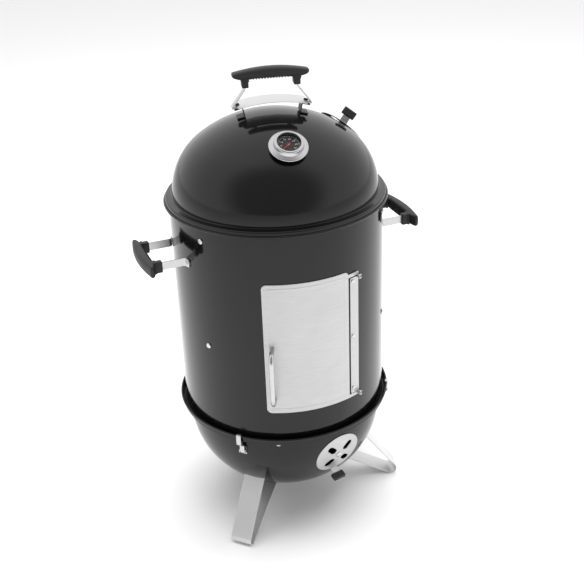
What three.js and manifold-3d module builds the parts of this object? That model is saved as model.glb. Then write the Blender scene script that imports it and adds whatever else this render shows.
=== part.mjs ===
// Vertical water smoker: a charcoal bowl on three legs, a barrel with a door and two grates,
// and a domed lid. Millimetres, +Z up. The origin is on the ground under the barrel's axis,
// the door side is -Y and the side handles stand on the X axis.
import * as THREE from "three";
import { mergeVertices } from "three/addons/utils/BufferGeometryUtils.js";
import Module from "manifold-3d";

const wasm = await Module();
wasm.setup();

// ---------- Driving dimensions: millimetres and degrees ----------
const GAP = 0.3; // gap kept between pieces that touch
const SHEET = 1.2; // enamelled steel sheet of bowl, barrel and lid
const FACETS = 40; // flats round each large shell

const GROUND_CLEARANCE = 51; // ground to the bottom of the bowl
const BOWL_DEPTH = 207;
const BOWL_SQUARENESS = 2.3; // exponent of the bowl's superellipse
const BOWL_INSET = 5.2; // bowl wall inside the barrel's outer wall
const BOWL_TURN = 15; // the bowl stands turned under the barrel
const LEDGE_DROP = 8; // ledge below the widest height of the bowl's curve
const LIP_GAP = 6.5; // barrel wall to the bowl's upright lip
const LIP_HEIGHT = 11.5;
const LIP_BEAD_R = 2.5;

const BARREL_R = 215;
const BARREL_H = 466;
const BARREL_BEAD_R = 2.4; // rolled bead round the barrel's foot

const LID_TURN = -13; // the lid is set on by hand, a little turned
const LID_SKIRT_GAP = 5; // barrel wall to the lid's skirt
const LID_SKIRT_H = 11;
const LID_BEAD_R = 2.5;
const LID_INSET = 8.4; // dome foot inside the barrel's outer wall
const LID_DOME_LIFT = 4; // dome foot above the barrel's top edge
const LID_SHOULDER_R = 132.3;
const LID_CROWN_R = 255.4;

const DOOR_AZ = [-29.5, 17.5]; // door panel's two upright edges
const DOOR_Z = [323, 608];
const DOOR_CORNER = 10;
const DOOR_SHEET = 1.4;
const DOOR_LAP = 12; // door panel beyond the opening on each side
const DOOR_STAND_OFF = 0.8;
const DOOR_TAB_H = 7;
const DOOR_HANDLE_AZ = -25.3;
const DOOR_HANDLE_Z = [355, 470];
const DOOR_HANDLE_REACH = 31; // panel to the middle of the handle's rod
const DOOR_HANDLE_ROD_R = 4.5;
const HINGE_STRIP_AZ = [18.7, 24.6];
const HINGE_STRIP_Z = [331, 591];
const HINGE_STRIP_SHEET = 1.2;
const HINGE_PIN_AZ = 24;
const HINGE_PIN_OUT = 7.3; // hinge pin's axis beyond the barrel's wall
const HINGE_PIN_R = 1.6;
const HINGE_EAR_T = 1.5;
const HINGE_EAR_W = 6; // narrow enough to turn clear of the barrel
const HINGE_SCREW_AZ = 20.4;
const HINGE_SCREW_Z = [343, 463, 584];

const BRACKET_AZ = [-62.6, 57.4, 177.4];
const UPPER_LEDGE_Z = 686;
const LOWER_LEDGE_Z = 460;
const WATER_LEDGE_Z = 446;
const BRACKET_SCREW_Z = { lower: 452, upper: 678.5 };
const BRACKET_T = 2;
const BRACKET_STAND_OFF = 1; // barrel's inner wall to the bracket's back
const BRACKET_W = 16;
const GRATE_R = 203; // outside of each cooking grate's ring
const GRATE_RING_R = 3;
const GRATE_ROD_R = 2;
const GRATE_PITCH = 31;
const WATER_R = 182;
const WATER_RIM_R = 190;
const WATER_DEPTH = 100;

const CHARCOAL_LEDGE_Z = 228;
const CHARCOAL_BOLT_Z = 243;
const CHARCOAL_BRACKET_AZ = [-39.6, 80.4, 200.4];
const CHARCOAL_GRATE_R = 189;
const CHARCOAL_RING_R = 160;
const CHARCOAL_RING_H = 84;

const LEG_AZ = { left: -60, right: 60, rear: 180 };
const LEG_T = 2.5;
const LEG_W = 46;
const LEG_TOP_Z = 148;
const FOOT_R = 238; // middle of the foot's bend from the axis
const FOOT_BEND = 12;
const FOOT_FLAT = 11; // half the angle of the bend that stands flat on the ground
const LEG_SEAT_R = 92; // where the inner flange is bolted under the bowl
const LEG_SEAT_HALF = 19;
const LEG_HEAD = { r: 7, h: 4.5 };
const LEG_NUT = { r: 6, h: 4.5 };
const LEG_SHANK = 3;

const VENT_R = 52;
const VENT_SHEET = 1;
const VENT_DISH_R = 215; // inner radius of each vent disc's shallow dish
const VENT_HOLE = { length: 25, width: 14, from_centre: 27 };
const VENT_RIVET_R = 3;
const VENT_NECK_H = 13; // bent neck above the disc's edge
const VENT_GRIP = { width: 28, height: 15, depth: 9 };
const BOWL_VENT = { az: -2.5, z: 183, rise: -17.5, lift: 1.8 };
const LID_VENT = { az: 118, polar: 49, lift: 1.6, turn: 225 }; // its grip points up the dome

const LATCH_AZ = [-60.3, 49.5, 174.5];
const LATCH_PIVOT_Z = 219;
const LATCH_W = 10;
const LATCH_T = 1.5;

const HANDLE_Z = 620;
const HANDLE_REACH = 295; // axis of the barrel to the crown of a side grip
const STRAP_T = 2.5;
const STRAP_W = 17;
const GRIP_LENGTH = 148;
const GRIP_WIDTH = 26;
const GRIP_DEPTH = 24; // crown to the finger side
const GRIP_LUG = { at: 50, width: 13, down: 37 };
const GRIP_END_DROP = 9;
const STRAP_DEPTH = 13; // crown of the grip to the strap inside it

const LID_HANDLE_TOP = 965.5;
const SHIELD_LIFT = 24.5; // heat shield's middle above the dome
const SHIELD_T = 1.2;
const SHIELD_HALF = { length: 68, width: 28 };
const LID_FOOT_R = 61; // lid axis to the middle of each handle foot
const LID_STUD_R = 2.5;

const THERMO_AZ = 5;
const THERMO_POLAR = 30.2;
const THERMO_FLANGE_R = 37.4;
const THERMO_DIAL_R = 23.4;
const THERMO_H = 20;
const THERMO_NECK_R = 7;
const THERMO_NUT = { r: 13, h: 5 };
const THERMO_STEM = { r: 3, length: 70 };
const NEEDLE_REST = 128; // the needle's rest angle, at the cold end of the dial

// ---------- Worked-out heights ----------
const BOWL_R = BARREL_R - BOWL_INSET;
const BOWL_WIDEST_Z = GROUND_CLEARANCE + BOWL_DEPTH;
const LEDGE_Z = BOWL_WIDEST_Z - LEDGE_DROP;
const LIP_R = BARREL_R + LIP_GAP;
const BARREL_FOOT_Z = LEDGE_Z + GAP;
const BARREL_TOP_Z = BARREL_FOOT_Z + BARREL_H;
const DOME_R = BARREL_R - LID_INSET;
const DOME_FOOT_Z = BARREL_TOP_Z + LID_DOME_LIFT;
const CROWN_POLAR = Math.asin((DOME_R - LID_SHOULDER_R) / (LID_CROWN_R - LID_SHOULDER_R));
const CROWN_Z = DOME_FOOT_Z - (LID_CROWN_R - LID_SHOULDER_R) * Math.cos(CROWN_POLAR);
const GRATE_RING_LIFT = GAP + GRATE_RING_R;

// ---------- Materials ----------
function finish(color, roughness, metalness) {
  return new THREE.MeshStandardMaterial({ color, roughness, metalness });
}

const ENAMEL = finish(0x141414, 0.12, 0.1);
const INNER_STEEL = finish(0x8d8f90, 0.35, 0.9);
const STAINLESS = finish(0xc4c5c6, 0.35, 1);
const CHROME = finish(0xe6e7e8, 0.08, 1);
const GRIP_PLASTIC = finish(0x2b2b2c, 0.55, 0);
const BLACK_STEEL = finish(0x1b1b1b, 0.5, 0.4);
const DIAL_BLACK = finish(0x0c0c0c, 0.45, 0);
const NEEDLE_RED = finish(0xb01a12, 0.4, 0);
const GLASS = finish(0xf4f8f8, 0.03, 0);

// ---------- Solids ----------
const rad = THREE.MathUtils.degToRad;

function solidOf(geometry) {
  const bare = geometry.clone();
  bare.deleteAttribute("normal");
  bare.deleteAttribute("uv");
  const merged = mergeVertices(bare, 1e-4);
  return new wasm.Manifold(
    new wasm.Mesh({
      numProp: 3,
      vertProperties: merged.attributes.position.array,
      triVerts: new Uint32Array(merged.index.array),
    }),
  );
}

function geometryOf(solid) {
  const mesh = solid.getMesh();
  const geometry = new THREE.BufferGeometry();
  geometry.setAttribute("position", new THREE.BufferAttribute(mesh.vertProperties, 3));
  geometry.setIndex(new THREE.BufferAttribute(mesh.triVerts, 1));
  return geometry;
}

function join(...geometries) {
  return geometryOf(geometries.map(solidOf).reduce((whole, next) => whole.add(next)));
}

function cut(geometry, ...cutters) {
  return geometryOf(
    cutters.map(solidOf).reduce((left, cutter) => left.subtract(cutter), solidOf(geometry)),
  );
}

function common(a, b) {
  return geometryOf(solidOf(a).intersect(solidOf(b)));
}

// ---------- Shapes ----------
// A solid of revolution about Z from [radius, height] points; a profile off the axis closes on itself.
function spin(profile, facets = FACETS) {
  const points = profile.map(([r, z]) => new THREE.Vector2(Math.max(r, 0), z));
  if (points[0].x > 0 || points.at(-1).x > 0) points.push(points[0].clone());
  if (THREE.ShapeUtils.area(points) < 0) points.reverse();
  return new THREE.LatheGeometry(points, facets).rotateX(Math.PI / 2);
}

function arc(cx, cz, radius, from, to, steps) {
  return Array.from({ length: steps + 1 }, (_, i) => {
    const a = rad(from + ((to - from) * i) / steps);
    return [cx + radius * Math.cos(a), cz + radius * Math.sin(a)];
  });
}

function box(x, y, z) {
  return new THREE.BoxGeometry(x[1] - x[0], y[1] - y[0], z[1] - z[0]).translate(
    (x[0] + x[1]) / 2,
    (y[0] + y[1]) / 2,
    (z[0] + z[1]) / 2,
  );
}

function roundedRectangle(width, height, corner) {
  const x = width / 2 - corner;
  const y = height / 2 - corner;
  const shape = new THREE.Shape();
  shape.absarc(x, y, corner, 0, Math.PI / 2);
  shape.absarc(-x, y, corner, Math.PI / 2, Math.PI);
  shape.absarc(-x, -y, corner, Math.PI, 1.5 * Math.PI);
  shape.absarc(x, -y, corner, 1.5 * Math.PI, 2 * Math.PI);
  return shape;
}

function slab(shape, depth, curveSegments = 4) {
  return new THREE.ExtrudeGeometry(shape, { depth, bevelEnabled: false, curveSegments });
}

// An upright window through the front wall: x and z give its edges, corner its rounding.
function panelOutline(x, z, corner) {
  const shape = roundedRectangle(x[1] - x[0], z[1] - z[0], corner);
  return slab(shape, 2 * BARREL_R, 3)
    .translate((x[0] + x[1]) / 2, (z[0] + z[1]) / 2, 0)
    .rotateX(Math.PI / 2);
}

// A path through corners, each inner corner rounded.
function roundedPath(corners, bend) {
  const points = corners.map(([x, y]) => new THREE.Vector2(x, y));
  const path = new THREE.Path().moveTo(points[0].x, points[0].y);
  for (let i = 1; i < points.length - 1; i++) {
    const corner = points[i];
    const back = points[i - 1].clone().sub(corner).setLength(bend).add(corner);
    const on = points[i + 1].clone().sub(corner).setLength(bend).add(corner);
    path.lineTo(back.x, back.y);
    path.quadraticCurveTo(corner.x, corner.y, on.x, on.y);
  }
  path.lineTo(points.at(-1).x, points.at(-1).y);
  return path;
}

// A flat strip bent along a line, extruded by its width, centred on z = 0.
function strip(line, thickness, width) {
  const left = [];
  const right = [];
  line.forEach((point, i) => {
    const before = line[Math.max(i - 1, 0)];
    const after = line[Math.min(i + 1, line.length - 1)];
    const along = after.clone().sub(before).normalize();
    const side = new THREE.Vector2(-along.y, along.x).multiplyScalar(thickness / 2);
    left.push(point.clone().add(side));
    right.unshift(point.clone().sub(side));
  });
  return slab(new THREE.Shape([...left, ...right]), width).translate(0, 0, -width / 2);
}

function bentStrip(corners, bend, thickness, width) {
  return strip(roundedPath(corners, bend).getPoints(4), thickness, width);
}

// A strip drawn in the upright plane through the axis at the front: x is radius, y is height.
function toFront(geometry) {
  return geometry.rotateX(Math.PI / 2).rotateZ(-Math.PI / 2);
}

// Where a piece sits on a round wall: turned to an azimuth, with its own +Z along the outward
// direction that rises by so many degrees.
function seat(azimuth, radius, height, rise = 0) {
  return new THREE.Matrix4()
    .makeRotationZ(rad(azimuth))
    .multiply(new THREE.Matrix4().makeTranslation(0, -radius, height))
    .multiply(new THREE.Matrix4().makeRotationX(rad(90 - rise)));
}

function turned(geometry, azimuth) {
  return geometry.clone().rotateZ(rad(azimuth));
}

function onSeat(geometry, matrix) {
  return geometry.clone().applyMatrix4(matrix);
}

function piece(parent, name, geometry, material, matrix) {
  const mesh = new THREE.Mesh(geometry, material);
  mesh.name = name;
  if (matrix) mesh.applyMatrix4(matrix);
  parent.add(mesh);
}

// ---------- Groups ----------
const smoker = new THREE.Group();
const bowl = new THREE.Group();
const barrel = new THREE.Group();
const lid = new THREE.Group();
bowl.rotation.z = rad(BOWL_TURN);
lid.rotation.z = rad(LID_TURN);
smoker.add(bowl, barrel, lid);

// ---------- Fasteners ----------
// A pan-head screw or bolt along +Z: head above z = 0, shank down through the sheets, nut below.
function bolt(head, shank, grip, nut) {
  return spin(
    [
      [0, head.h],
      [head.r * 0.8, head.h],
      [head.r, GAP],
      [shank, GAP],
      [shank, -grip - GAP],
      [nut.r, -grip - GAP],
      [nut.r, -grip - GAP - nut.h],
      [0, -grip - GAP - nut.h],
    ],
    8,
  );
}

const SMALL_HEAD = { r: 5.5, h: 3 };
const SMALL_NUT = { r: 4.4, h: 3.2 };
const SMALL_SHANK = 2.4;

function drill(radius, matrix, depth = 20) {
  const corner = radius / Math.cos(Math.PI / 8);
  const bar = new THREE.CylinderGeometry(corner, corner, 2 * depth, 8).rotateX(Math.PI / 2);
  return onSeat(bar, matrix);
}

// ---------- Bowl ----------
function superellipse(radius, depth, power, top, steps = 7) {
  return Array.from({ length: steps + 1 }, (_, i) => {
    const s = Math.sin(((1 - i / steps) * Math.PI) / 2);
    return [radius * (1 - s ** power) ** (1 / power), top - depth * s];
  });
}

const BOWL_CURVE = superellipse(BOWL_R, BOWL_DEPTH, BOWL_SQUARENESS, BOWL_WIDEST_Z);

// The bowl's radius at a height, its underside's height at a radius and the slope there in
// degrees, all read from the straight stretches of its curve.
function bowlRadius(z) {
  const i = BOWL_CURVE.findIndex((p, k) => k > 0 && p[1] >= z);
  const [[r0, z0], [r1, z1]] = BOWL_CURVE.slice(i - 1, i + 1);
  return r0 + ((r1 - r0) * (z - z0)) / (z1 - z0);
}

function bowlHeight(r) {
  const i = BOWL_CURVE.findIndex((p, k) => k > 0 && p[0] >= r);
  const [[r0, z0], [r1, z1]] = BOWL_CURVE.slice(i - 1, i + 1);
  return z0 + ((z1 - z0) * (r - r0)) / (r1 - r0);
}

function bowlSlope(r) {
  return THREE.MathUtils.radToDeg(Math.atan(bowlHeight(r + 0.5) - bowlHeight(r - 0.5)));
}

function bowlProfile() {
  const below = ([, z]) => z < LEDGE_Z - 3;
  const outer = BOWL_CURVE.filter(below);
  const inner = superellipse(
    BOWL_R - SHEET, BOWL_DEPTH - SHEET, BOWL_SQUARENESS, BOWL_WIDEST_Z,
  ).filter(below);
  const lipTop = LEDGE_Z + LIP_HEIGHT;
  const wall = bowlRadius(LEDGE_Z);
  return [
    ...outer,
    [wall, LEDGE_Z - SHEET],
    [LIP_R + SHEET, LEDGE_Z - SHEET],
    [LIP_R + SHEET, lipTop - LIP_BEAD_R + 0.4],
    ...arc(LIP_R + LIP_BEAD_R, lipTop, LIP_BEAD_R, -110, 180, 3),
    [LIP_R, LEDGE_Z],
    [wall - SHEET, LEDGE_Z],
    ...inner.reverse(),
  ];
}

function bowlVentSeat(lift) {
  const { az, z, rise } = BOWL_VENT;
  const radius = bowlRadius(z) + lift * Math.cos(rad(rise));
  return seat(az, radius, z + lift * Math.sin(rad(rise)), rise);
}

// ---------- Vents: a shallow dished disc that turns over four holes ----------
function ventHoles(extra) {
  const shape = roundedRectangle(
    VENT_HOLE.length + extra, VENT_HOLE.width + extra, (VENT_HOLE.width + extra) / 2 - 0.01,
  );
  return [45, 135, 225, 315].map((a) =>
    slab(shape, 60, 2).translate(VENT_HOLE.from_centre, 0, -30).rotateZ(rad(a)),
  );
}

function dishHeight(r, dish) {
  return Math.sqrt(dish * dish - r * r) - dish;
}

function ventDisc() {
  const radii = [VENT_RIVET_R + GAP, VENT_R / 2, VENT_R];
  const under = radii.map((r) => [r, dishHeight(r, VENT_DISH_R)]);
  const over = radii.map((r) => [r, dishHeight(r, VENT_DISH_R) + VENT_SHEET]).reverse();
  const disc = cut(spin([...under, ...over], 28), ...ventHoles(0));
  const rim = dishHeight(VENT_R, VENT_DISH_R);
  const neck = bentStrip(
    [[38, rim + 2.5], [49, rim + 1.5], [VENT_R + 3, rim + VENT_NECK_H]], 3, VENT_SHEET * 1.4, 16,
  );
  return join(disc, neck.rotateX(Math.PI / 2).rotateZ(-Math.PI / 2));
}

// The grip block stands on the end of the disc's bent neck.
function ventGrip() {
  const { width, height, depth } = VENT_GRIP;
  const block = slab(roundedRectangle(width, height, 2), depth).rotateX(Math.PI / 2);
  const foot = dishHeight(VENT_R, VENT_DISH_R) + VENT_NECK_H + 2 * GAP;
  return block.translate(0, 1.5 - VENT_R, foot + height / 2);
}

function ventRivet() {
  return spin(
    [
      [0, VENT_SHEET + 3],
      [4, VENT_SHEET + 2.6],
      [6.5, VENT_SHEET + GAP],
      [VENT_RIVET_R, VENT_SHEET + GAP],
      [VENT_RIVET_R, -SHEET - 5],
      [6, -SHEET - 5],
      [6, -SHEET - 7],
      [0, -SHEET - 7],
    ],
    16,
  );
}

function addVent(parent, prefix, matrix) {
  piece(parent, prefix + "_disc", ventDisc(), STAINLESS, matrix);
  piece(parent, prefix + "_grip", ventGrip(), GRIP_PLASTIC, matrix);
  piece(parent, prefix + "_rivet", ventRivet(), STAINLESS, matrix);
}

function ventCutters(matrix) {
  return [...ventHoles(1), drill(VENT_RIVET_R + GAP, new THREE.Matrix4())].map((g) =>
    onSeat(g, matrix),
  );
}

// ---------- Legs: one strip bent into a V, bolted under the bowl ----------
function tangentAngle(centre, radius, point, side) {
  const to = new THREE.Vector2(point[0] - centre[0], point[1] - centre[1]);
  return to.angle() + side * Math.acos(radius / to.length());
}

function legLine() {
  const top = [bowlRadius(LEG_TOP_Z) + 2.2, LEG_TOP_Z];
  const slope = rad(bowlSlope(LEG_SEAT_R));
  const drop = (GAP + LEG_T / 2 + 0.15) / Math.cos(slope);
  const flange = [LEG_SEAT_HALF, -LEG_SEAT_HALF].map((d) => [
    LEG_SEAT_R + d * Math.cos(slope),
    bowlHeight(LEG_SEAT_R) - drop + d * Math.sin(slope),
  ]);
  const centre = [FOOT_R, (FOOT_BEND + LEG_T / 2) * Math.cos(rad(FOOT_FLAT))];
  const from = tangentAngle(centre, FOOT_BEND, top, -1);
  const to = tangentAngle(centre, FOOT_BEND, flange[0], 1) - 2 * Math.PI;
  const degrees = THREE.MathUtils.radToDeg;
  const foot = [
    ...arc(...centre, FOOT_BEND, degrees(from), FOOT_FLAT - 90, 4),
    ...arc(...centre, FOOT_BEND, -FOOT_FLAT - 90, degrees(to), 2),
  ];
  const ends = roundedPath([foot.at(-1), ...flange], 6).getPoints(4);
  return [top, ...foot.slice(0, -1)].map(([x, y]) => new THREE.Vector2(x, y)).concat(ends);
}

const legBoltSeat = (azimuth, lift) => {
  const slope = bowlSlope(LEG_SEAT_R);
  return seat(
    azimuth,
    LEG_SEAT_R + lift * Math.sin(rad(slope)),
    bowlHeight(LEG_SEAT_R) - lift * Math.cos(rad(slope)),
    slope - 90,
  );
};

function addLegs() {
  const blank = toFront(strip(legLine(), LEG_T, LEG_W));
  const leg = cut(blank, drill(LEG_SHANK + GAP, legBoltSeat(0, 0)));
  const under = LEG_T + GAP + 0.5;
  const screw = bolt(LEG_HEAD, LEG_SHANK, under + SHEET + GAP, LEG_NUT);
  for (const [name, azimuth] of Object.entries(LEG_AZ)) {
    piece(bowl, "leg_" + name, leg, STAINLESS, new THREE.Matrix4().makeRotationZ(rad(azimuth)));
    piece(bowl, "leg_bolt_" + name, screw, STAINLESS, legBoltSeat(azimuth, under));
  }
}

// ---------- Charcoal grate, its brackets and the charcoal ring ----------
const charcoalBoltSeat = (azimuth) =>
  seat(azimuth, bowlRadius(CHARCOAL_BOLT_Z), CHARCOAL_BOLT_Z);

function charcoalBracket() {
  const back = bowlRadius(CHARCOAL_LEDGE_Z - BRACKET_T) - SHEET - 4 * GAP;
  const half = BRACKET_W / 2;
  const tip = CHARCOAL_GRATE_R - 5;
  const foot = CHARCOAL_LEDGE_Z - BRACKET_T;
  const upright = box([-half, half], [-back, -back + BRACKET_T], [foot, CHARCOAL_BOLT_Z + 6]);
  const ledge = box([-half, half], [-back, -tip], [foot, CHARCOAL_LEDGE_Z]);
  const wall = bowlRadius(CHARCOAL_BOLT_Z);
  const end = back - wall - 1;
  const head = [[0, 3], [4, 3], [5.5, 1.4], [5.5, GAP]];
  const rivet = spin([...head, [SMALL_SHANK, GAP], [SMALL_SHANK, end], [0, end]], 12);
  return join(upright, ledge, onSeat(rivet, seat(0, wall + GAP, CHARCOAL_BOLT_Z)));
}

function grate(outerRadius, ringRadius, rodRadius, pitch) {
  const middle = outerRadius - ringRadius;
  const parts = [new THREE.TorusGeometry(middle, ringRadius, 4, 32)];
  const count = Math.floor(middle / pitch);
  for (let i = -count; i <= count; i++) {
    const half = Math.sqrt(middle ** 2 - (i * pitch) ** 2);
    parts.push(new THREE.CylinderGeometry(rodRadius, rodRadius, 2 * half, 4).translate(i * pitch, 0, 0));
  }
  for (const y of [-0.45, 0.45]) {
    const half = Math.sqrt(middle ** 2 - (y * middle) ** 2);
    const brace = new THREE.CylinderGeometry(rodRadius, rodRadius, 2 * half, 4).rotateZ(Math.PI / 2);
    parts.push(brace.translate(0, y * middle, rodRadius - ringRadius));
  }
  return join(...parts);
}

const CHARCOAL_GRATE_Z = CHARCOAL_LEDGE_Z + GAP + GRATE_RING_R;

function charcoalRing() {
  const foot = CHARCOAL_GRATE_Z + GRATE_ROD_R + GAP;
  const tube = spin(
    [
      [CHARCOAL_RING_R - SHEET, foot],
      [CHARCOAL_RING_R, foot],
      [CHARCOAL_RING_R, foot + CHARCOAL_RING_H],
      [CHARCOAL_RING_R - SHEET, foot + CHARCOAL_RING_H],
    ],
    32,
  );
  const holes = [];
  for (let row = 0; row < 2; row++) {
    for (let i = 0; i < 3; i++) {
      const bar = new THREE.CylinderGeometry(9, 9, 3 * CHARCOAL_RING_R, 6);
      const z = foot + CHARCOAL_RING_H * (row ? 0.7 : 0.3);
      holes.push(bar.rotateZ(rad(60 * i + 30 * row)).translate(0, 0, z));
    }
  }
  return cut(tube, ...holes);
}

// ---------- Latches: a strap that swings up over the bowl's lip ----------
const LATCH_PIN_R = 1.5;
const LATCH_EYE_R = 3.2;
const LATCH_PIVOT_R = bowlRadius(LATCH_PIVOT_Z) + LATCH_EYE_R + LATCH_T + 0.8;

function latchBase() {
  const wall = bowlRadius(LATCH_PIVOT_Z);
  const earFrom = -wall - LATCH_T - GAP;
  const ears = [-1, 1].map((side) => {
    const x = [side * (LATCH_W / 2 + 0.6), side * (LATCH_W / 2 + 0.6 + LATCH_T)].sort((a, b) => a - b);
    return box(x, [-LATCH_PIVOT_R - LATCH_EYE_R, earFrom + 0.5], [LATCH_PIVOT_Z - 4, LATCH_PIVOT_Z + 4]);
  });
  const half = LATCH_W / 2 + 0.6 + LATCH_T;
  const plate = box([-half, half], [earFrom, -wall - GAP - 0.2], [LATCH_PIVOT_Z - 9, LATCH_PIVOT_Z + 9]);
  const pin = new THREE.CylinderGeometry(LATCH_PIN_R, LATCH_PIN_R, 2 * half, 12).rotateZ(Math.PI / 2);
  return join(plate, ...ears, pin.translate(0, -LATCH_PIVOT_R, LATCH_PIVOT_Z));
}

function latchHook() {
  const lipTop = LEDGE_Z + LIP_HEIGHT;
  const out = LIP_R + 2 * LIP_BEAD_R + 0.5 + LATCH_T / 2;
  const over = lipTop + LIP_BEAD_R + 0.7 + LATCH_T / 2;
  const foot = LATCH_PIVOT_R + LATCH_EYE_R - LATCH_T / 2;
  const strap = bentStrip(
    [
      [foot, LATCH_PIVOT_Z],
      [foot, LATCH_PIVOT_Z + 15],
      [out, LATCH_PIVOT_Z + 24],
      [out, over],
      [LIP_R + 0.6, over],
    ],
    2.2, LATCH_T, LATCH_W,
  );
  const eye = new THREE.CylinderGeometry(LATCH_EYE_R, LATCH_EYE_R, LATCH_W, 12)
    .rotateX(Math.PI / 2)
    .translate(LATCH_PIVOT_R, LATCH_PIVOT_Z, 0);
  const bore = new THREE.CylinderGeometry(LATCH_PIN_R + GAP, LATCH_PIN_R + GAP, 2 * LATCH_W, 12)
    .rotateX(Math.PI / 2)
    .translate(LATCH_PIVOT_R, LATCH_PIVOT_Z, 0);
  return toFront(cut(join(strap, eye), bore));
}

// ---------- Barrel ----------
function barrelProfile() {
  const inner = BARREL_R - SHEET;
  const beadZ = BARREL_FOOT_Z + BARREL_BEAD_R;
  return [
    [inner, BARREL_FOOT_Z],
    ...arc(BARREL_R - 0.4 + BARREL_BEAD_R, beadZ, BARREL_BEAD_R, -90, 160, 3),
    [BARREL_R, beadZ + BARREL_BEAD_R],
    [BARREL_R, BARREL_TOP_Z],
    [inner, BARREL_TOP_Z],
  ];
}

const DOOR_MIDDLE_AZ = (DOOR_AZ[0] + DOOR_AZ[1]) / 2;
const DOOR_R = BARREL_R + DOOR_STAND_OFF;
const DOOR_HALF = DOOR_R * Math.sin(rad((DOOR_AZ[1] - DOOR_AZ[0]) / 2));

function doorOpening() {
  const half = DOOR_HALF - DOOR_LAP;
  const hole = panelOutline([-half, half], [DOOR_Z[0] + DOOR_LAP, DOOR_Z[1] - DOOR_LAP], DOOR_CORNER);
  return turned(hole, DOOR_MIDDLE_AZ);
}

function curvedSheet(radius, thickness, z, outline) {
  const outer = radius + thickness;
  const wall = spin([[radius, z[0]], [outer, z[0]], [outer, z[1]], [radius, z[1]]]);
  return common(wall, outline);
}

// A hinge ear: a small level plate standing out of a sheet, bored for the pin.
function hingeEar(fromRadius, z) {
  const pinR = BARREL_R + HINGE_PIN_OUT;
  const plate = slab(roundedRectangle(HINGE_EAR_W, pinR + 4 - fromRadius, 2), HINGE_EAR_T, 1)
    .translate(0, -(pinR + 4 + fromRadius) / 2, z);
  const bore = new THREE.CylinderGeometry(HINGE_PIN_R + GAP, HINGE_PIN_R + GAP, 20, 8)
    .rotateX(Math.PI / 2)
    .translate(0, -pinR, z);
  return turned(cut(plate, bore), HINGE_PIN_AZ);
}

const UPPER_TAB_Z = HINGE_STRIP_Z[1] + 3;
const LOWER_TAB_Z = DOOR_Z[0];

function doorPanel() {
  const reach = DOOR_R * Math.sin(rad(HINGE_STRIP_AZ[1] - DOOR_MIDDLE_AZ));
  const tab = (z) => panelOutline([DOOR_HALF - 15, reach], [z, z + DOOR_TAB_H], 1.5);
  const outline = join(
    panelOutline([-DOOR_HALF, DOOR_HALF], DOOR_Z, DOOR_CORNER), tab(UPPER_TAB_Z), tab(LOWER_TAB_Z),
  );
  const height = [DOOR_Z[0] - 1, DOOR_Z[1] + 1];
  const sheet = curvedSheet(DOOR_R, DOOR_SHEET, height, turned(outline, DOOR_MIDDLE_AZ));
  return join(
    sheet,
    hingeEar(DOOR_R + 0.3, UPPER_TAB_Z + 0.5),
    hingeEar(DOOR_R + 0.3, LOWER_TAB_Z + 2),
  );
}

function hingeStrip() {
  const [from, to] = HINGE_STRIP_AZ;
  const middle = (from + to) / 2;
  const radius = BARREL_R + 0.5;
  const half = radius * Math.sin(rad((to - from) / 2));
  const outline = turned(panelOutline([-half, half], HINGE_STRIP_Z, 2), middle);
  const sheet = curvedSheet(radius, HINGE_STRIP_SHEET, HINGE_STRIP_Z, outline);
  const holes = HINGE_SCREW_Z.map((z) => drill(SMALL_SHANK + GAP, seat(HINGE_SCREW_AZ, BARREL_R, z)));
  return cut(
    join(
      sheet,
      hingeEar(radius + 0.3, HINGE_STRIP_Z[1] - HINGE_EAR_T),
      hingeEar(radius + 0.3, HINGE_STRIP_Z[0]),
    ),
    ...holes,
  );
}

function hingePin(bottom, top) {
  return spin(
    [
      [0, bottom - 1.5],
      [3.2, bottom - 1.5],
      [3.2, bottom - GAP],
      [HINGE_PIN_R, bottom - GAP],
      [HINGE_PIN_R, top + GAP],
      [3.2, top + GAP],
      [3.2, top + 1.5],
      [0, top + 1.5],
    ],
    12,
  );
}

function doorHandle() {
  const [low, high] = DOOR_HANDLE_Z;
  const foot = DOOR_R + DOOR_SHEET + GAP;
  const out = DOOR_R + DOOR_SHEET + DOOR_HANDLE_REACH;
  const bend = 16;
  const at = (r, z) => new THREE.Vector3(0, -r, z);
  const path = new THREE.CurvePath();
  path.add(new THREE.LineCurve3(at(foot, high), at(out - bend, high)));
  path.add(new THREE.QuadraticBezierCurve3(at(out - bend, high), at(out, high), at(out, high - bend)));
  path.add(new THREE.LineCurve3(at(out, high - bend), at(out, low + bend)));
  path.add(new THREE.QuadraticBezierCurve3(at(out, low + bend), at(out, low), at(out - bend, low)));
  path.add(new THREE.LineCurve3(at(out - bend, low), at(foot, low)));
  const section = new THREE.Shape().absarc(0, 0, DOOR_HANDLE_ROD_R, 0, 2 * Math.PI);
  const rod = new THREE.ExtrudeGeometry(section, { extrudePath: path, steps: 24, curveSegments: 4 });
  return turned(rod, DOOR_HANDLE_AZ);
}

function grateBracket() {
  const back = BARREL_R - SHEET - BRACKET_STAND_OFF;
  const half = BRACKET_W / 2;
  const upright = box([-half, half], [-back, -back + BRACKET_T], [WATER_LEDGE_Z - 8, UPPER_LEDGE_Z + 12]);
  const ledge = (top, tip) => box([-half, half], [-back, -tip], [top - BRACKET_T, top]);
  return join(
    upright,
    ledge(UPPER_LEDGE_Z, GRATE_R - 7),
    ledge(LOWER_LEDGE_Z, GRATE_R - 7),
    ledge(WATER_LEDGE_Z, WATER_RIM_R - 6),
  );
}

const bracketScrewSeats = BRACKET_AZ.flatMap((azimuth) =>
  Object.values(BRACKET_SCREW_Z).map((z) => seat(azimuth, BARREL_R, z)),
);

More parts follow.
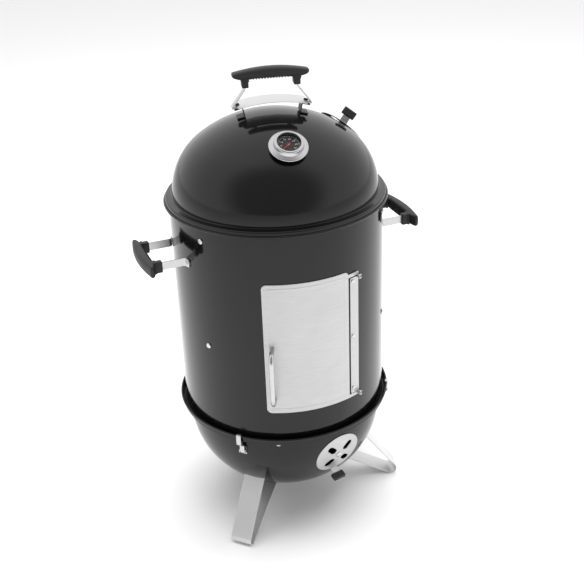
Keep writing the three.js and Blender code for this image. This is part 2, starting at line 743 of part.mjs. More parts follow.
function addGrateBrackets() {
  const holes = Object.values(BRACKET_SCREW_Z).map((z) => drill(SMALL_SHANK + GAP, seat(0, BARREL_R, z)));
  const bracket = cut(grateBracket(), ...holes);
  const screw = bolt(SMALL_HEAD, SMALL_SHANK, SHEET + BRACKET_STAND_OFF + BRACKET_T, SMALL_NUT);
  BRACKET_AZ.forEach((azimuth, i) => {
    const turn = new THREE.Matrix4().makeRotationZ(rad(azimuth));
    piece(barrel, "grate_bracket_" + (i + 1), bracket, INNER_STEEL, turn);
    for (const [level, z] of Object.entries(BRACKET_SCREW_Z)) {
      piece(barrel, `bracket_screw_${level}_${i + 1}`, screw, STAINLESS, seat(azimuth, BARREL_R, z));
    }
  });
}

function waterBowl() {
  const rim = WATER_LEDGE_Z + GAP;
  const power = 2.6;
  const outer = superellipse(WATER_R, WATER_DEPTH, power, rim, 4);
  const inner = superellipse(WATER_R - SHEET, WATER_DEPTH - SHEET, power, rim + SHEET, 4);
  return spin([
    ...outer.slice(0, -1),
    [WATER_R, rim],
    [WATER_RIM_R, rim],
    [WATER_RIM_R, rim + SHEET],
    ...inner.reverse(),
  ], 32);
}

// ---------- Handles: a steel strap bent to a U, threaded through a plastic grip ----------
function gripShape() {
  const half = GRIP_LENGTH / 2;
  const { at, width, down } = GRIP_LUG;
  const crown = Array.from({ length: 13 }, (_, i) => {
    const x = half * (i / 6 - 1);
    return new THREE.Vector2(x, -GRIP_END_DROP * (x / half) ** 2);
  });
  const right = [
    [half, -GRIP_END_DROP - 8],
    [half - 5, -GRIP_DEPTH],
    [at + width / 2, -GRIP_DEPTH],
    [at + width / 2, -down],
    [at - width / 2, -down],
    [at - width / 2, -GRIP_DEPTH],
  ].map(([x, y]) => new THREE.Vector2(x, y));
  const left = right.map((p) => new THREE.Vector2(-p.x, p.y)).reverse();
  return new THREE.Shape([...crown, ...right, ...left]);
}

// The grip, crown at y = 0, with the strap's channel cut through it.
function grip(strapCorners) {
  const body = slab(gripShape(), GRIP_WIDTH).translate(0, 0, -GRIP_WIDTH / 2);
  const channel = bentStrip(strapCorners, 5, STRAP_T + 2 * GAP, STRAP_W + 2 * GAP);
  return cut(body, channel);
}

function sideStrapCorners() {
  const flange = 14;
  const circle = BARREL_R + GAP + STRAP_T / 2 + 0.35;
  const crown = HANDLE_REACH;
  const at = GRIP_LUG.at;
  const wall = (x) => Math.sqrt(circle ** 2 - x ** 2) - crown;
  const half = [[-at - flange, wall(at + flange)], [-at, wall(at)], [-at, -STRAP_DEPTH]];
  return [...half, ...half.map(([x, y]) => [-x, y]).reverse()];
}

function addSideHandles() {
  const corners = sideStrapCorners();
  const strap = bentStrip(corners, 5, STRAP_T, STRAP_W);
  const body = grip(corners.slice(1, -1));
  for (const [name, azimuth] of [["left", -90], ["right", 90]]) {
    const stand = new THREE.Group();
    stand.rotation.z = rad(azimuth);
    barrel.add(stand);
    const flat = new THREE.Matrix4()
      .makeTranslation(0, -HANDLE_REACH, HANDLE_Z)
      .multiply(new THREE.Matrix4().makeRotationZ(Math.PI));
    piece(stand, `side_handle_strap_${name}`, strap, STAINLESS, flat);
    piece(stand, `side_handle_grip_${name}`, body, GRIP_PLASTIC, flat);
  }
}

// ---------- Lid ----------
// A point on the dome at an angle from the top, moved out along the normal.
function domePoint(polar, lift = 0) {
  const a = rad(polar);
  if (a <= CROWN_POLAR) {
    return [(LID_CROWN_R + lift) * Math.sin(a), CROWN_Z + (LID_CROWN_R + lift) * Math.cos(a)];
  }
  const r = LID_SHOULDER_R + lift;
  return [DOME_R - LID_SHOULDER_R + r * Math.sin(a), DOME_FOOT_Z + r * Math.cos(a)];
}

function domeCurve(lift) {
  const crown = THREE.MathUtils.radToDeg(CROWN_POLAR);
  const polars = [0, 0.2, 0.4, 0.6, 0.8, 1].map((s) => s * crown);
  for (let i = 1; i <= 4; i++) polars.push(crown + ((90 - crown) * i) / 4);
  return polars.map((polar) => domePoint(polar, lift));
}

function lidProfile() {
  const under = BARREL_TOP_Z + GAP;
  const skirt = BARREL_R + LID_SKIRT_GAP;
  const beadZ = under - LID_SKIRT_H + LID_BEAD_R;
  return [
    ...domeCurve(0),
    [DOME_R, under + SHEET],
    [skirt + SHEET - 1.5, under + SHEET],
    [skirt + SHEET, under + SHEET - 1.5],
    ...arc(skirt + 0.3 + LID_BEAD_R, beadZ, LID_BEAD_R, 120, -90, 3),
    [skirt, beadZ - LID_BEAD_R],
    [skirt, under],
    [DOME_R - SHEET, under],
    ...domeCurve(-SHEET).reverse(),
  ];
}

const lidVentSeat = (lift) => {
  const [r, z] = domePoint(LID_VENT.polar, lift);
  const turn = new THREE.Matrix4().makeRotationZ(rad(LID_VENT.turn));
  return seat(LID_VENT.az, r, z, 90 - LID_VENT.polar).multiply(turn);
};

const thermoSeat = (() => {
  const [r, z] = domePoint(THERMO_POLAR);
  return seat(THERMO_AZ, r, z, 90 - THERMO_POLAR);
})();

const LID_FOOT_POLAR = THREE.MathUtils.radToDeg(Math.asin(LID_FOOT_R / LID_CROWN_R));
const lidFootSeat = (azimuth) => seat(azimuth, ...domePoint(LID_FOOT_POLAR), 90 - LID_FOOT_POLAR);

// Each foot is a black steel channel with a stud up through strap and shield and one down
// through the dome.
function lidFoot() {
  const high = SHIELD_LIFT - SHIELD_T / 2 - 2 * GAP - STRAP_T;
  const low = 0.9;
  const channel = bentStrip(
    [[8, low + 1], [-8, low + 1], [-8, high - 1], [8, high - 1]], 2.5, 2, 26,
  ).rotateX(Math.PI / 2);
  const top = SHIELD_LIFT + SHIELD_T / 2 + GAP;
  const up = spin(
    [[0, high - 1], [LID_STUD_R, high - 1], [LID_STUD_R, top], [5, top], [4, top + 2], [0, top + 2.4]], 12,
  );
  const down = spin(
    [
      [0, low + 1],
      [LID_STUD_R, low + 1],
      [LID_STUD_R, -SHEET - 1.3],
      [5, -SHEET - 1.3],
      [5, -SHEET - 3.5],
      [0, -SHEET - 3.5],
    ],
    12,
  );
  return join(channel, up, down).rotateZ(-Math.PI / 2);
}

function lidStrapCorners() {
  const { at, down } = GRIP_LUG;
  const level = SHIELD_LIFT - SHIELD_T / 2 - GAP - STRAP_T / 2;
  const flange = (r) => {
    const polar = rad(LID_FOOT_POLAR);
    const along = r - LID_FOOT_R;
    const [x, z] = domePoint(LID_FOOT_POLAR, level);
    return [x + along * Math.cos(polar), z - along * Math.sin(polar) - LID_HANDLE_TOP];
  };
  const [outX, outY] = flange(SHIELD_HALF.length + 6);
  const [inX, inY] = flange(LID_FOOT_R - 8);
  const half = [[-inX, inY], [-outX, outY], [-at, -down - 2], [-at, -STRAP_DEPTH]];
  return [...half, ...half.map(([x, y]) => [-x, y]).reverse()];
}

function heatShield() {
  const radius = LID_CROWN_R + SHIELD_LIFT;
  const reach = THREE.MathUtils.radToDeg(Math.asin(SHIELD_HALF.length / radius));
  const line = arc(0, CROWN_Z, radius, 90 - reach, 90 + reach, 12).map(([x, y]) => new THREE.Vector2(x, y));
  const plate = strip(line, SHIELD_T, 2 * SHIELD_HALF.width).rotateX(Math.PI / 2);
  return cut(plate, ...[-90, 90].map((a) => drill(LID_STUD_R + GAP, lidFootSeat(a), 40)));
}

function addLidHandle() {
  const corners = lidStrapCorners();
  const upright = new THREE.Matrix4()
    .makeTranslation(0, 0, LID_HANDLE_TOP)
    .multiply(new THREE.Matrix4().makeRotationX(Math.PI / 2));
  const holes = [-90, 90].map((a) => drill(LID_STUD_R + GAP, lidFootSeat(a), 40));
  const strap = onSeat(bentStrip(corners, 5, STRAP_T, STRAP_W), upright);
  piece(lid, "lid_handle_strap", cut(strap, ...holes), STAINLESS);
  piece(lid, "lid_handle_grip", grip(corners.slice(1, -1)), GRIP_PLASTIC, upright);
  piece(lid, "heat_shield", heatShield(), STAINLESS);
  piece(lid, "lid_handle_foot_left", lidFoot(), BLACK_STEEL, lidFootSeat(-90));
  piece(lid, "lid_handle_foot_right", lidFoot(), BLACK_STEEL, lidFootSeat(90));
}

// ---------- Thermometer ----------
const THERMO_DIAL_Z = THERMO_H - 8;

function thermometerCase() {
  const inner = THERMO_DIAL_R + 0.6;
  return spin(
    [
      [0, THERMO_DIAL_Z - 3],
      [inner, THERMO_DIAL_Z - 3],
      [inner, THERMO_H - 2.5],
      [inner - 1.6, THERMO_H],
      [inner + 2, THERMO_H],
      [inner + 4, THERMO_H - 3],
      [inner + 5, THERMO_H - 9],
      [THERMO_FLANGE_R - 2, 9],
      [THERMO_FLANGE_R, 7],
      [THERMO_FLANGE_R - 1, 5],
      [THERMO_FLANGE_R - 6, 4],
      [THERMO_NECK_R + 4, 4],
      [THERMO_NECK_R + 4, 1],
      [THERMO_NECK_R, 1],
      [THERMO_NECK_R, -12],
      [THERMO_STEM.r, -14],
      [THERMO_STEM.r, -THERMO_STEM.length + 2],
      [0, -THERMO_STEM.length],
    ],
    24,
  );
}

function disc(radius, from, to, facets = 24) {
  return spin([[0, from], [radius, from], [radius, to], [0, to]], facets);
}

function needle() {
  const length = THERMO_DIAL_R * 0.78;
  const blade = new THREE.Shape([
    new THREE.Vector2(-1, -length * 0.25),
    new THREE.Vector2(1, -length * 0.25),
    new THREE.Vector2(0.3, length),
    new THREE.Vector2(-0.3, length),
  ]);
  return join(slab(blade, 0.6), disc(2, -0.4, 1, 16)).rotateZ(rad(NEEDLE_REST));
}

function bore(radius) {
  return new THREE.CylinderGeometry(radius, radius, 30, 24).rotateX(Math.PI / 2);
}

function addThermometer() {
  piece(lid, "thermometer_case", thermometerCase(), CHROME, thermoSeat);
  const dial = disc(THERMO_DIAL_R, THERMO_DIAL_Z - 2.7, THERMO_DIAL_Z - 1.7);
  piece(lid, "thermometer_dial", dial, DIAL_BLACK, thermoSeat);
  const raised = thermoSeat.clone().multiply(new THREE.Matrix4().makeTranslation(0, 0, THERMO_DIAL_Z - 1));
  piece(lid, "thermometer_needle", needle(), NEEDLE_RED, raised);
  const lens = disc(THERMO_DIAL_R + 0.3, THERMO_H - 4.8, THERMO_H - 2.9);
  piece(lid, "thermometer_lens", lens, GLASS, thermoSeat);
  const inside = -SHEET - 1.6;
  const nut = cut(disc(THERMO_NUT.r, inside - THERMO_NUT.h, inside, 6), bore(THERMO_NECK_R + GAP));
  piece(lid, "thermometer_nut", nut, STAINLESS, thermoSeat);
}

// ---------- Assembly ----------
const bowlShell = cut(
  spin(bowlProfile()),
  ...ventCutters(bowlVentSeat(0)),
  ...Object.values(LEG_AZ).map((a) => drill(LEG_SHANK + GAP, legBoltSeat(a, 0))),
  ...CHARCOAL_BRACKET_AZ.map((a) => drill(SMALL_SHANK + GAP, charcoalBoltSeat(a))),
);
piece(bowl, "bowl_shell", bowlShell, ENAMEL);
addLegs();
addVent(bowl, "bowl_vent", bowlVentSeat(BOWL_VENT.lift));
CHARCOAL_BRACKET_AZ.forEach((azimuth, i) => {
  const turn = new THREE.Matrix4().makeRotationZ(rad(azimuth));
  piece(bowl, "charcoal_bracket_" + (i + 1), charcoalBracket(), INNER_STEEL, turn);
});
const charcoalGrate = grate(CHARCOAL_GRATE_R, GRATE_RING_R, GRATE_ROD_R, GRATE_PITCH);
piece(bowl, "charcoal_grate", charcoalGrate.translate(0, 0, CHARCOAL_GRATE_Z), INNER_STEEL);
piece(bowl, "charcoal_ring", charcoalRing(), INNER_STEEL);
LATCH_AZ.forEach((azimuth, i) => {
  const turn = new THREE.Matrix4().makeRotationZ(rad(azimuth));
  piece(bowl, "latch_base_" + (i + 1), latchBase(), STAINLESS, turn);
  piece(bowl, "latch_hook_" + (i + 1), latchHook(), STAINLESS, turn);
});

const barrelShell = cut(
  spin(barrelProfile()),
  doorOpening(),
  ...bracketScrewSeats.map((matrix) => drill(SMALL_SHANK + GAP, matrix)),
  ...HINGE_SCREW_Z.map((z) => drill(SMALL_SHANK + GAP, seat(HINGE_SCREW_AZ, BARREL_R, z))),
);
piece(barrel, "barrel_shell", barrelShell, ENAMEL);
piece(barrel, "door_panel", doorPanel(), STAINLESS);
piece(barrel, "door_handle", doorHandle(), CHROME);
piece(barrel, "door_hinge_strip", hingeStrip(), STAINLESS);
HINGE_SCREW_Z.forEach((z, i) => {
  const out = HINGE_STRIP_SHEET + 0.5;
  const screw = bolt({ r: 4, h: 2.2 }, SMALL_SHANK, out + SHEET + 2 * GAP, { r: 4, h: 3 });
  piece(barrel, "hinge_screw_" + (i + 1), screw, STAINLESS, seat(HINGE_SCREW_AZ, BARREL_R + out, z));
});
for (const [name, low, high] of [
  ["lower", LOWER_TAB_Z + 2, HINGE_STRIP_Z[0] + HINGE_EAR_T],
  ["upper", HINGE_STRIP_Z[1] - HINGE_EAR_T, UPPER_TAB_Z + 0.5 + HINGE_EAR_T],
]) {
  const turn = new THREE.Matrix4()
    .makeRotationZ(rad(HINGE_PIN_AZ))
    .multiply(new THREE.Matrix4().makeTranslation(0, -BARREL_R - HINGE_PIN_OUT, 0));
  piece(barrel, "door_hinge_pin_" + name, hingePin(low, high), STAINLESS, turn);
}
addGrateBrackets();
const cookingGrate = grate(GRATE_R, GRATE_RING_R, GRATE_ROD_R, GRATE_PITCH);
for (const [name, ledge] of [["upper_grate", UPPER_LEDGE_Z], ["lower_grate", LOWER_LEDGE_Z]]) {
  const lift = new THREE.Matrix4().makeTranslation(0, 0, ledge + GRATE_RING_LIFT);
  piece(barrel, name, cookingGrate, CHROME, lift);
}
piece(barrel, "water_bowl", waterBowl(), ENAMEL);
addSideHandles();

const lidShell = cut(
  spin(lidProfile()),
  ...ventCutters(lidVentSeat(0)),
  drill(THERMO_NECK_R + GAP, thermoSeat, 40),
  drill(LID_STUD_R + GAP, lidFootSeat(-90)),
  drill(LID_STUD_R + GAP, lidFootSeat(90)),
);
piece(lid, "lid_shell", lidShell, ENAMEL);
addVent(lid, "lid_vent", lidVentSeat(LID_VENT.lift));
addLidHandle();
addThermometer();

// The origin is under the middle of the whole object, a little behind the barrel's axis.
const bounds = new THREE.Box3().setFromObject(smoker, true);
smoker.position.y = -(bounds.min.y + bounds.max.y) / 2;

export default smoker;
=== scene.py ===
"""A vertical water smoker: enamelled bowl, barrel and lid on three strip legs, seen from above
its door side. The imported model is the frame, and every piece here is dressed onto it."""

import math

import bmesh
import bpy
from mathutils import Matrix, Vector


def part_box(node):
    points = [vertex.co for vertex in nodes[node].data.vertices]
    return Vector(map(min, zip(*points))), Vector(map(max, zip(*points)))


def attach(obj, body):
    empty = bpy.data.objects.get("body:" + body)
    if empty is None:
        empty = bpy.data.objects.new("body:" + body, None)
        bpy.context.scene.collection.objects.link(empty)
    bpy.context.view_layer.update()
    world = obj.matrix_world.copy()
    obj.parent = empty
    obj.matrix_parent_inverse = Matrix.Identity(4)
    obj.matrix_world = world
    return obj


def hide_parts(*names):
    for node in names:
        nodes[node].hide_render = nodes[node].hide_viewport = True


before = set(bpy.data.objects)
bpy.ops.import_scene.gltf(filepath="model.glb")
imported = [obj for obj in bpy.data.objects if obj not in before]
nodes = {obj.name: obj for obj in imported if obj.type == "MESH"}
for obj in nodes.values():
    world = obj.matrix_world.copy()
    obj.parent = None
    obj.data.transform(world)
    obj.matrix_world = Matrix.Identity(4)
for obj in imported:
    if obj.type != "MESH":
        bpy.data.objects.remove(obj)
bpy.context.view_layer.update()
scene = bpy.context.scene

# ---------------------------------------------------------------------------------------
# Studio: a plain white floor, a pale surround that is dimmer above the door side, and one
# soft box overhead. The camera stands at head height and looks down on the door side.
# ---------------------------------------------------------------------------------------
MM = 0.001
barrel_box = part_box("barrel_shell")
AXIS_Y = (barrel_box[0][1] + barrel_box[1][1]) / 2
CAMERA_AT = (-0.6620, AXIS_Y - 1.8190, 1.4718)
CAMERA_DOWN = 27.08
CAMERA_HEADING = 20.745
CAMERA_ROLL = -2.221
CAMERA_LENS = 63.5

camera_data = bpy.data.cameras.new("camera")
camera_data.lens = CAMERA_LENS
camera_data.sensor_width = 36
camera = bpy.data.objects.new("camera", camera_data)
scene.collection.objects.link(camera)
camera.matrix_world = (
    Matrix.Translation(CAMERA_AT)
    @ Matrix.Rotation(math.radians(-CAMERA_HEADING), 4, "Z")
    @ Matrix.Rotation(math.radians(90 - CAMERA_DOWN), 4, "X")
    @ Matrix.Rotation(math.radians(CAMERA_ROLL), 4, "Z")
)
scene.camera = camera
scene.view_settings.view_transform = "Standard"


class Wire:
    """A shader socket that takes part in sums and products."""

    def __init__(self, shade, socket):
        self.shade = shade
        self.socket = socket

    def math(self, operation, other, swapped=False):
        pair = (other, self) if swapped else (self, other)
        return self.shade.node("ShaderNodeMath", {"operation": operation}, {0: pair[0], 1: pair[1]})

    def __add__(self, other):
        return self.math("ADD", other)

    __radd__ = __add__

    def __sub__(self, other):
        return self.math("SUBTRACT", other)

    def __rsub__(self, other):
        return self.math("SUBTRACT", other, True)

    def __mul__(self, other):
        return self.math("MULTIPLY", other)

    __rmul__ = __mul__


class Shade:
    """A material's nodes, with one method that adds any node."""

    def __init__(self, name, **fixed):
        self.material = bpy.data.materials.new(name)
        self.material.use_nodes = True
        self.tree = self.material.node_tree
        self.surface = self.tree.nodes["Principled BSDF"]
        for socket, value in fixed.items():
            name = "IOR" if socket == "ior" else socket.replace("_", " ").title().replace("Ior", "IOR")
            self.surface.inputs[name].default_value = value

    def node(self, kind, settings=None, inputs=None, output=0):
        made = self.tree.nodes.new(kind)
        for key, value in (settings or {}).items():
            setattr(made, key, value)
        for key, value in (inputs or {}).items():
            if isinstance(value, Wire):
                self.tree.links.new(value.socket, made.inputs[key])
            else:
                made.inputs[key].default_value = value
        return Wire(self, made.outputs[output])

    def place(self, scale=(1, 1, 1)):
        """Object coordinates, stretched by a scale along each axis."""
        coordinates = self.node("ShaderNodeTexCoord", output="Object")
        return self.node("ShaderNodeMapping", inputs={"Vector": coordinates, "Scale": scale})

    def noise(self, scale, detail=2.0, stretch=(1, 1, 1)):
        where = {"Vector": self.place(stretch), "Scale": scale, "Detail": detail}
        return self.node("ShaderNodeTexNoise", inputs=where)

    def blend(self, share, low, high):
        """A colour between two, by a wire from 0 to 1."""
        settings = {"data_type": "RGBA", "clamp_factor": True}
        return self.node("ShaderNodeMix", settings, {0: share, 6: (*low, 1), 7: (*high, 1)}, 2)

    def band(self, wire, low, high):
        """A wire spread from 0 to 1 between two values."""
        settings = {"clamp": True}
        return self.node("ShaderNodeMapRange", settings, {0: wire, 1: low, 2: high})

    def feed(self, socket, wire):
        self.tree.links.new(wire.socket, self.surface.inputs[socket])

    def bump(self, height, distance, strength=1.0):
        inputs = {"Height": height, "Distance": distance, "Strength": strength}
        self.feed("Normal", self.node("ShaderNodeBump", inputs=inputs))


FLOOR_HALF = 14
floor_mesh = bpy.data.meshes.new("floor")
floor_mesh.from_pydata(
    [(x, y, 0) for x, y in ((-FLOOR_HALF, -FLOOR_HALF), (FLOOR_HALF, -FLOOR_HALF),
                            (FLOOR_HALF, FLOOR_HALF), (-FLOOR_HALF, FLOOR_HALF))],
    [],
    [(0, 1, 2, 3)],
)
floor = bpy.data.objects.new("floor", floor_mesh)
scene.collection.objects.link(floor)
paper = Shade("floor_paper", roughness=0.9)
paper.feed("Base Color", paper.blend(paper.noise(220, 3), (0.91, 0.91, 0.91), (0.94, 0.94, 0.94)))
floor_mesh.materials.append(paper.material)

world = bpy.data.worlds.new("surround")
scene.world = world
world.use_nodes = True
SURROUND = 1.12
sky = world.node_tree
sky.nodes["Background"].inputs["Color"].default_value = (1, 1, 1, 1)
direction = sky.nodes.new("ShaderNodeTexCoord").outputs["Generated"]
toward = sky.nodes.new("ShaderNodeVectorMath")
toward.operation = "DOT_PRODUCT"
toward.inputs[1].default_value = (-0.30, -0.82, 0.48)
sky.links.new(direction, toward.inputs[0])
shade = sky.nodes.new("ShaderNodeMapRange")
shade.interpolation_type = "SMOOTHERSTEP"
for socket, value in (("From Min", 0.35), ("From Max", 0.9), ("To Min", SURROUND), ("To Max", 0.34)):
    shade.inputs[socket].default_value = value
sky.links.new(toward.outputs["Value"], shade.inputs["Value"])
sky.links.new(shade.outputs["Result"], sky.nodes["Background"].inputs["Strength"])


def soft_box(name, place, aim, size, power):
    light = bpy.data.lights.new(name, "AREA")
    light.shape = "RECTANGLE"
    light.size, light.size_y = size
    light.energy = power
    lamp = bpy.data.objects.new(name, light)
    lamp.visible_glossy = False
    scene.collection.objects.link(lamp)
    lamp.location = place
    lamp.rotation_euler = (Vector(aim) - Vector(place)).to_track_quat("-Z", "Y").to_euler()


soft_box("top_box", (0.3, 0.2, 3.4), (0, 0, 0.4), (3.4, 3.4), 125)

# ---------------------------------------------------------------------------------------
# Bowl: pressed steel dipped in black porcelain enamel, with a ledge that the barrel stands
# on and a rolled lip. Its vent holes are punched before it is dipped.
# ---------------------------------------------------------------------------------------
SHEET = 1.2
ROUND = 160
SMOOTH_ANGLE = math.radians(32)
BOWL_TURN = 15
BOWL = {"radius": 209.8, "depth": 207, "widest": 258, "power": 2.3}
LEDGE_Z = 250
LIP_R = 221.5
LIP_TOP = 261.5
LIP_BEAD_R = 2.5


def arc(cx, cz, radius, start, end, steps):
    angles = [math.radians(start + (end - start) * i / steps) for i in range(steps + 1)]
    return [(cx + radius * math.cos(a), cz + radius * math.sin(a)) for a in angles]


def lathe(profile, segments=ROUND):
    """The wall that a closed outline of (radius, height) sweeps round Z."""
    made = bmesh.new()
    rings = []
    for i in range(segments):
        turn = 2 * math.pi * i / segments
        rings.append([made.verts.new((r * math.cos(turn), r * math.sin(turn), z)) for r, z in profile])
    count = len(profile)
    for i in range(segments):
        here, there = rings[i], rings[(i + 1) % segments]
        for j in range(count):
            k = (j + 1) % count
            if profile[j][0] < 1e-6 and profile[k][0] < 1e-6:
                continue
            made.faces.new((here[j], there[j], there[k], here[k]))
    bmesh.ops.remove_doubles(made, verts=made.verts, dist=1e-4)
    bmesh.ops.dissolve_degenerate(made, edges=made.edges, dist=1e-5)
    bmesh.ops.recalc_face_normals(made, faces=made.faces)
    return made


def seat(azimuth, radius, height, rise=0.0):
    """Puts a piece made with +Z outward on a round wall, +Y up its slope."""
    return (
        Matrix.Rotation(math.radians(azimuth), 4, "Z")
        @ Matrix.Translation((0, -radius, height))
        @ Matrix.Rotation(math.radians(90 - rise), 4, "X")
    )


def turned(azimuth):
    return Matrix.Rotation(math.radians(azimuth), 4, "Z")


def mesh_object(name, made):
    """A mesh object at the origin, in metres, from a bmesh in millimetres."""
    made.transform(Matrix.Translation((0, AXIS_Y, 0)) @ Matrix.Scale(MM, 4))
    mesh = bpy.data.meshes.new(name)
    made.to_mesh(mesh)
    made.free()
    mesh.shade_smooth()
    mesh.set_sharp_from_angle(angle=SMOOTH_ANGLE)
    obj = bpy.data.objects.new(name, mesh)
    scene.collection.objects.link(obj)
    return obj


def settle(obj, name):
    """The object with its modifiers made real."""
    mesh = bpy.data.meshes.new_from_object(obj.evaluated_get(bpy.context.evaluated_depsgraph_get()))
    obj.modifiers.clear()
    obj.data = mesh
    mesh.name = name
    mesh.shade_smooth()
    mesh.set_sharp_from_angle(angle=SMOOTH_ANGLE)


def cut(obj, *cutters):
    """Takes closed shapes away from an object and removes them."""
    for cutter in cutters:
        tool = obj.modifiers.new("cut", "BOOLEAN")
        tool.operation = "DIFFERENCE"
        tool.solver = "EXACT"
        tool.object = cutter
    settle(obj, obj.name)
    for cutter in cutters:
        bpy.data.objects.remove(cutter)


def dress(obj, material, slot, body, *stands_for):
    obj.data.materials.clear()
    obj.data.materials.append(material)
    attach(obj, body)
    if stands_for:
        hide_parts(*stands_for)


def superellipse(radius, depth, power, top, steps):
    points = []
    for i in range(steps + 1):
        share = math.sin((1 - i / steps) * math.pi / 2)
        points.append((radius * max(1 - share**power, 0) ** (1 / power), top - depth * share))
    return points


def bowl_radius(z):
    share = (BOWL["widest"] - z) / BOWL["depth"]
    return BOWL["radius"] * (1 - share ** BOWL["power"]) ** (1 / BOWL["power"])


def bowl_wall(inset, stop):
    curve = superellipse(BOWL["radius"] - inset, BOWL["depth"] - inset, BOWL["power"], BOWL["widest"], 48)
    return [p for p in curve if p[1] < stop]


def bowl_profile():
    wall = bowl_radius(LEDGE_Z)
    return [
        *bowl_wall(0, LEDGE_Z - 4),
        (wall, LEDGE_Z - SHEET - 1.2),
        (wall + 1.2, LEDGE_Z - SHEET),
        (LIP_R + SHEET - 1, LEDGE_Z - SHEET),
        (LIP_R + SHEET, LEDGE_Z - SHEET + 1),
        (LIP_R + SHEET, LIP_TOP - LIP_BEAD_R + 0.4),
        *arc(LIP_R + LIP_BEAD_R, LIP_TOP, LIP_BEAD_R, -110, 180, 14),
        (LIP_R, LEDGE_Z + 1),
        (LIP_R - 1, LEDGE_Z),
        (wall - SHEET + 1, LEDGE_Z),
        (wall - SHEET, LEDGE_Z - 1),
        *reversed(bowl_wall(SHEET, LEDGE_Z - 4)),
    ]


def capsule_cutter(name, length, width, place, depth=30):
    """A round-ended bar standing along Z, to punch a hole with."""
    made = bmesh.new()
    half = length / 2 - width / 2
    outline = arc(half, 0, width / 2, -90, 90, 14) + arc(-half, 0, width / 2, 90, 270, 14)
    low = [made.verts.new((x, y, -depth)) for x, y in outline]
    high = [made.verts.new((x, y, depth)) for x, y in outline]
    made.faces.new(low[::-1])
    made.faces.new(high)
    count = len(outline)
    for i in range(count):
        k = (i + 1) % count
        made.faces.new((low[i], low[k], high[k], high[i]))
    made.transform(place)
    return mesh_object(name, made)


VENT_HOLE = {"length": 25, "width": 14, "out": 27}


def vent_punches(place, extra):
    punches = []
    for angle in (45, 135, 225, 315):
        spot = place @ turned(angle) @ Matrix.Translation((VENT_HOLE["out"], 0, 0))
        size = VENT_HOLE["length"] + extra, VENT_HOLE["width"] + extra
        punches.append(capsule_cutter("punch", *size, spot))
    return punches


def black_enamel():
    """Fired black glass: a deep gloss with the faint ripple of the dip and specks in the glaze."""
    enamel = Shade("black_enamel", specular_ior_level=0.38)
    ripple = enamel.noise(38, 2)
    cloud = enamel.noise(9, 3)
    speck = enamel.band(enamel.noise(900, 2), 0.7, 0.74)
    base = enamel.blend(cloud, (0.0035, 0.0035, 0.0038), (0.007, 0.007, 0.0073))
    enamel.feed("Base Color", base)
    enamel.feed("Roughness", 0.07 + cloud * 0.06 + speck * 0.1)
    enamel.bump(ripple + speck * 0.05, 0.0004, 0.12)
    return enamel.material


ENAMEL = black_enamel()
BOWL_VENT = seat(BOWL_TURN - 2.5, 198.6, 183, -17.5)
bowl = mesh_object("bowl", lathe(bowl_profile()))
cut(bowl, *vent_punches(BOWL_VENT, 1))
dress(bowl, ENAMEL, "enamel", "base", "bowl_shell")

# ---------------------------------------------------------------------------------------
# Vents: a dished stainless disc with four holes turns on a rivet. A neck folded out of the
# disc carries a moulded grip block.
# ---------------------------------------------------------------------------------------
VENT_R = 52
VENT_DISH_R = 215
VENT_SHEET = 1
VENT_GRIP = {"width": 28, "height": 15, "depth": 9}
VENT_RIM = math.sqrt(VENT_DISH_R**2 - VENT_R**2) - VENT_DISH_R
VENT_NECK_H = 13


def brushed(name, tone, stretch, scale, rough, depth, metal=1.0):
    """Stainless steel with grinding lines along one direction."""
    steel = Shade(name, metallic=metal)
    lines = steel.noise(scale, 3, stretch)
    fine = steel.noise(scale * 3, 2, stretch)
    cloud = steel.noise(7, 3)
    low = tuple(tone * 0.86 for _ in range(3))
    high = tuple(min(tone * 1.08, 1) for _ in range(3))
    steel.feed("Base Color", steel.blend(steel.band(lines * 0.5 + cloud * 0.5, 0.3, 0.7), low, high))
    steel.feed("Roughness", rough + lines * 0.14 + cloud * 0.08 - 0.1)
    steel.bump(lines + fine * 0.5, depth)
    return steel.material


def bent_strip(line, thickness, width, start_corner=0.5, end_corner=0.5):
    """A flat strip bent along a line of (x, y), its width along z, corners rounded at both ends."""
    points = [Vector(p) for p in line]
    lengths = [0.0]
    for before, here in zip(points, points[1:]):
        lengths.append(lengths[-1] + (here - before).length)
    total = lengths[-1]
    dense = []
    for spot in sorted(
        set(lengths)
        | {start_corner * (1 - math.cos(math.pi / 2 * i / 8)) for i in range(9)}
        | {total - end_corner * (1 - math.cos(math.pi / 2 * i / 8)) for i in range(9)}
    ):
        index = max(i for i, v in enumerate(lengths[:-1]) if v <= spot + 1e-9)
        share = (spot - lengths[index]) / (lengths[index + 1] - lengths[index])
        dense.append((spot, points[index].lerp(points[index + 1], share)))
    edge = min(thickness * 0.25, 0.4)
    made = bmesh.new()
    rings = []
    for i, (spot, here) in enumerate(dense):
        before = dense[max(i - 1, 0)][1]
        after = dense[min(i + 1, len(dense) - 1)][1]
        tangent = (after - before).normalized()
        side = Vector((-tangent.y, tangent.x))
        half = width / 2
        for gap, corner in ((spot, start_corner), (total - spot, end_corner)):
            if gap < corner:
                half = min(half, width / 2 - corner + math.sqrt(max(corner**2 - (corner - gap) ** 2, 0)))
        half = max(half, edge * 1.5)
        t = thickness / 2
        section = [(-t, -half + edge), (-t + edge, -half), (t - edge, -half), (t, -half + edge),
                   (t, half - edge), (t - edge, half), (-t + edge, half), (-t, half - edge)]
        ring = []
        for off, breadth in section:
            place = here + side * off
            ring.append(made.verts.new((place.x, place.y, breadth)))
        rings.append(ring)
    for a, b in zip(rings, rings[1:]):
        for j in range(8):
            k = (j + 1) % 8
            made.faces.new((a[j], a[k], b[k], b[j]))
    made.faces.new(rings[0])
    made.faces.new(rings[-1][::-1])
    bmesh.ops.recalc_face_normals(made, faces=made.faces)
    return made


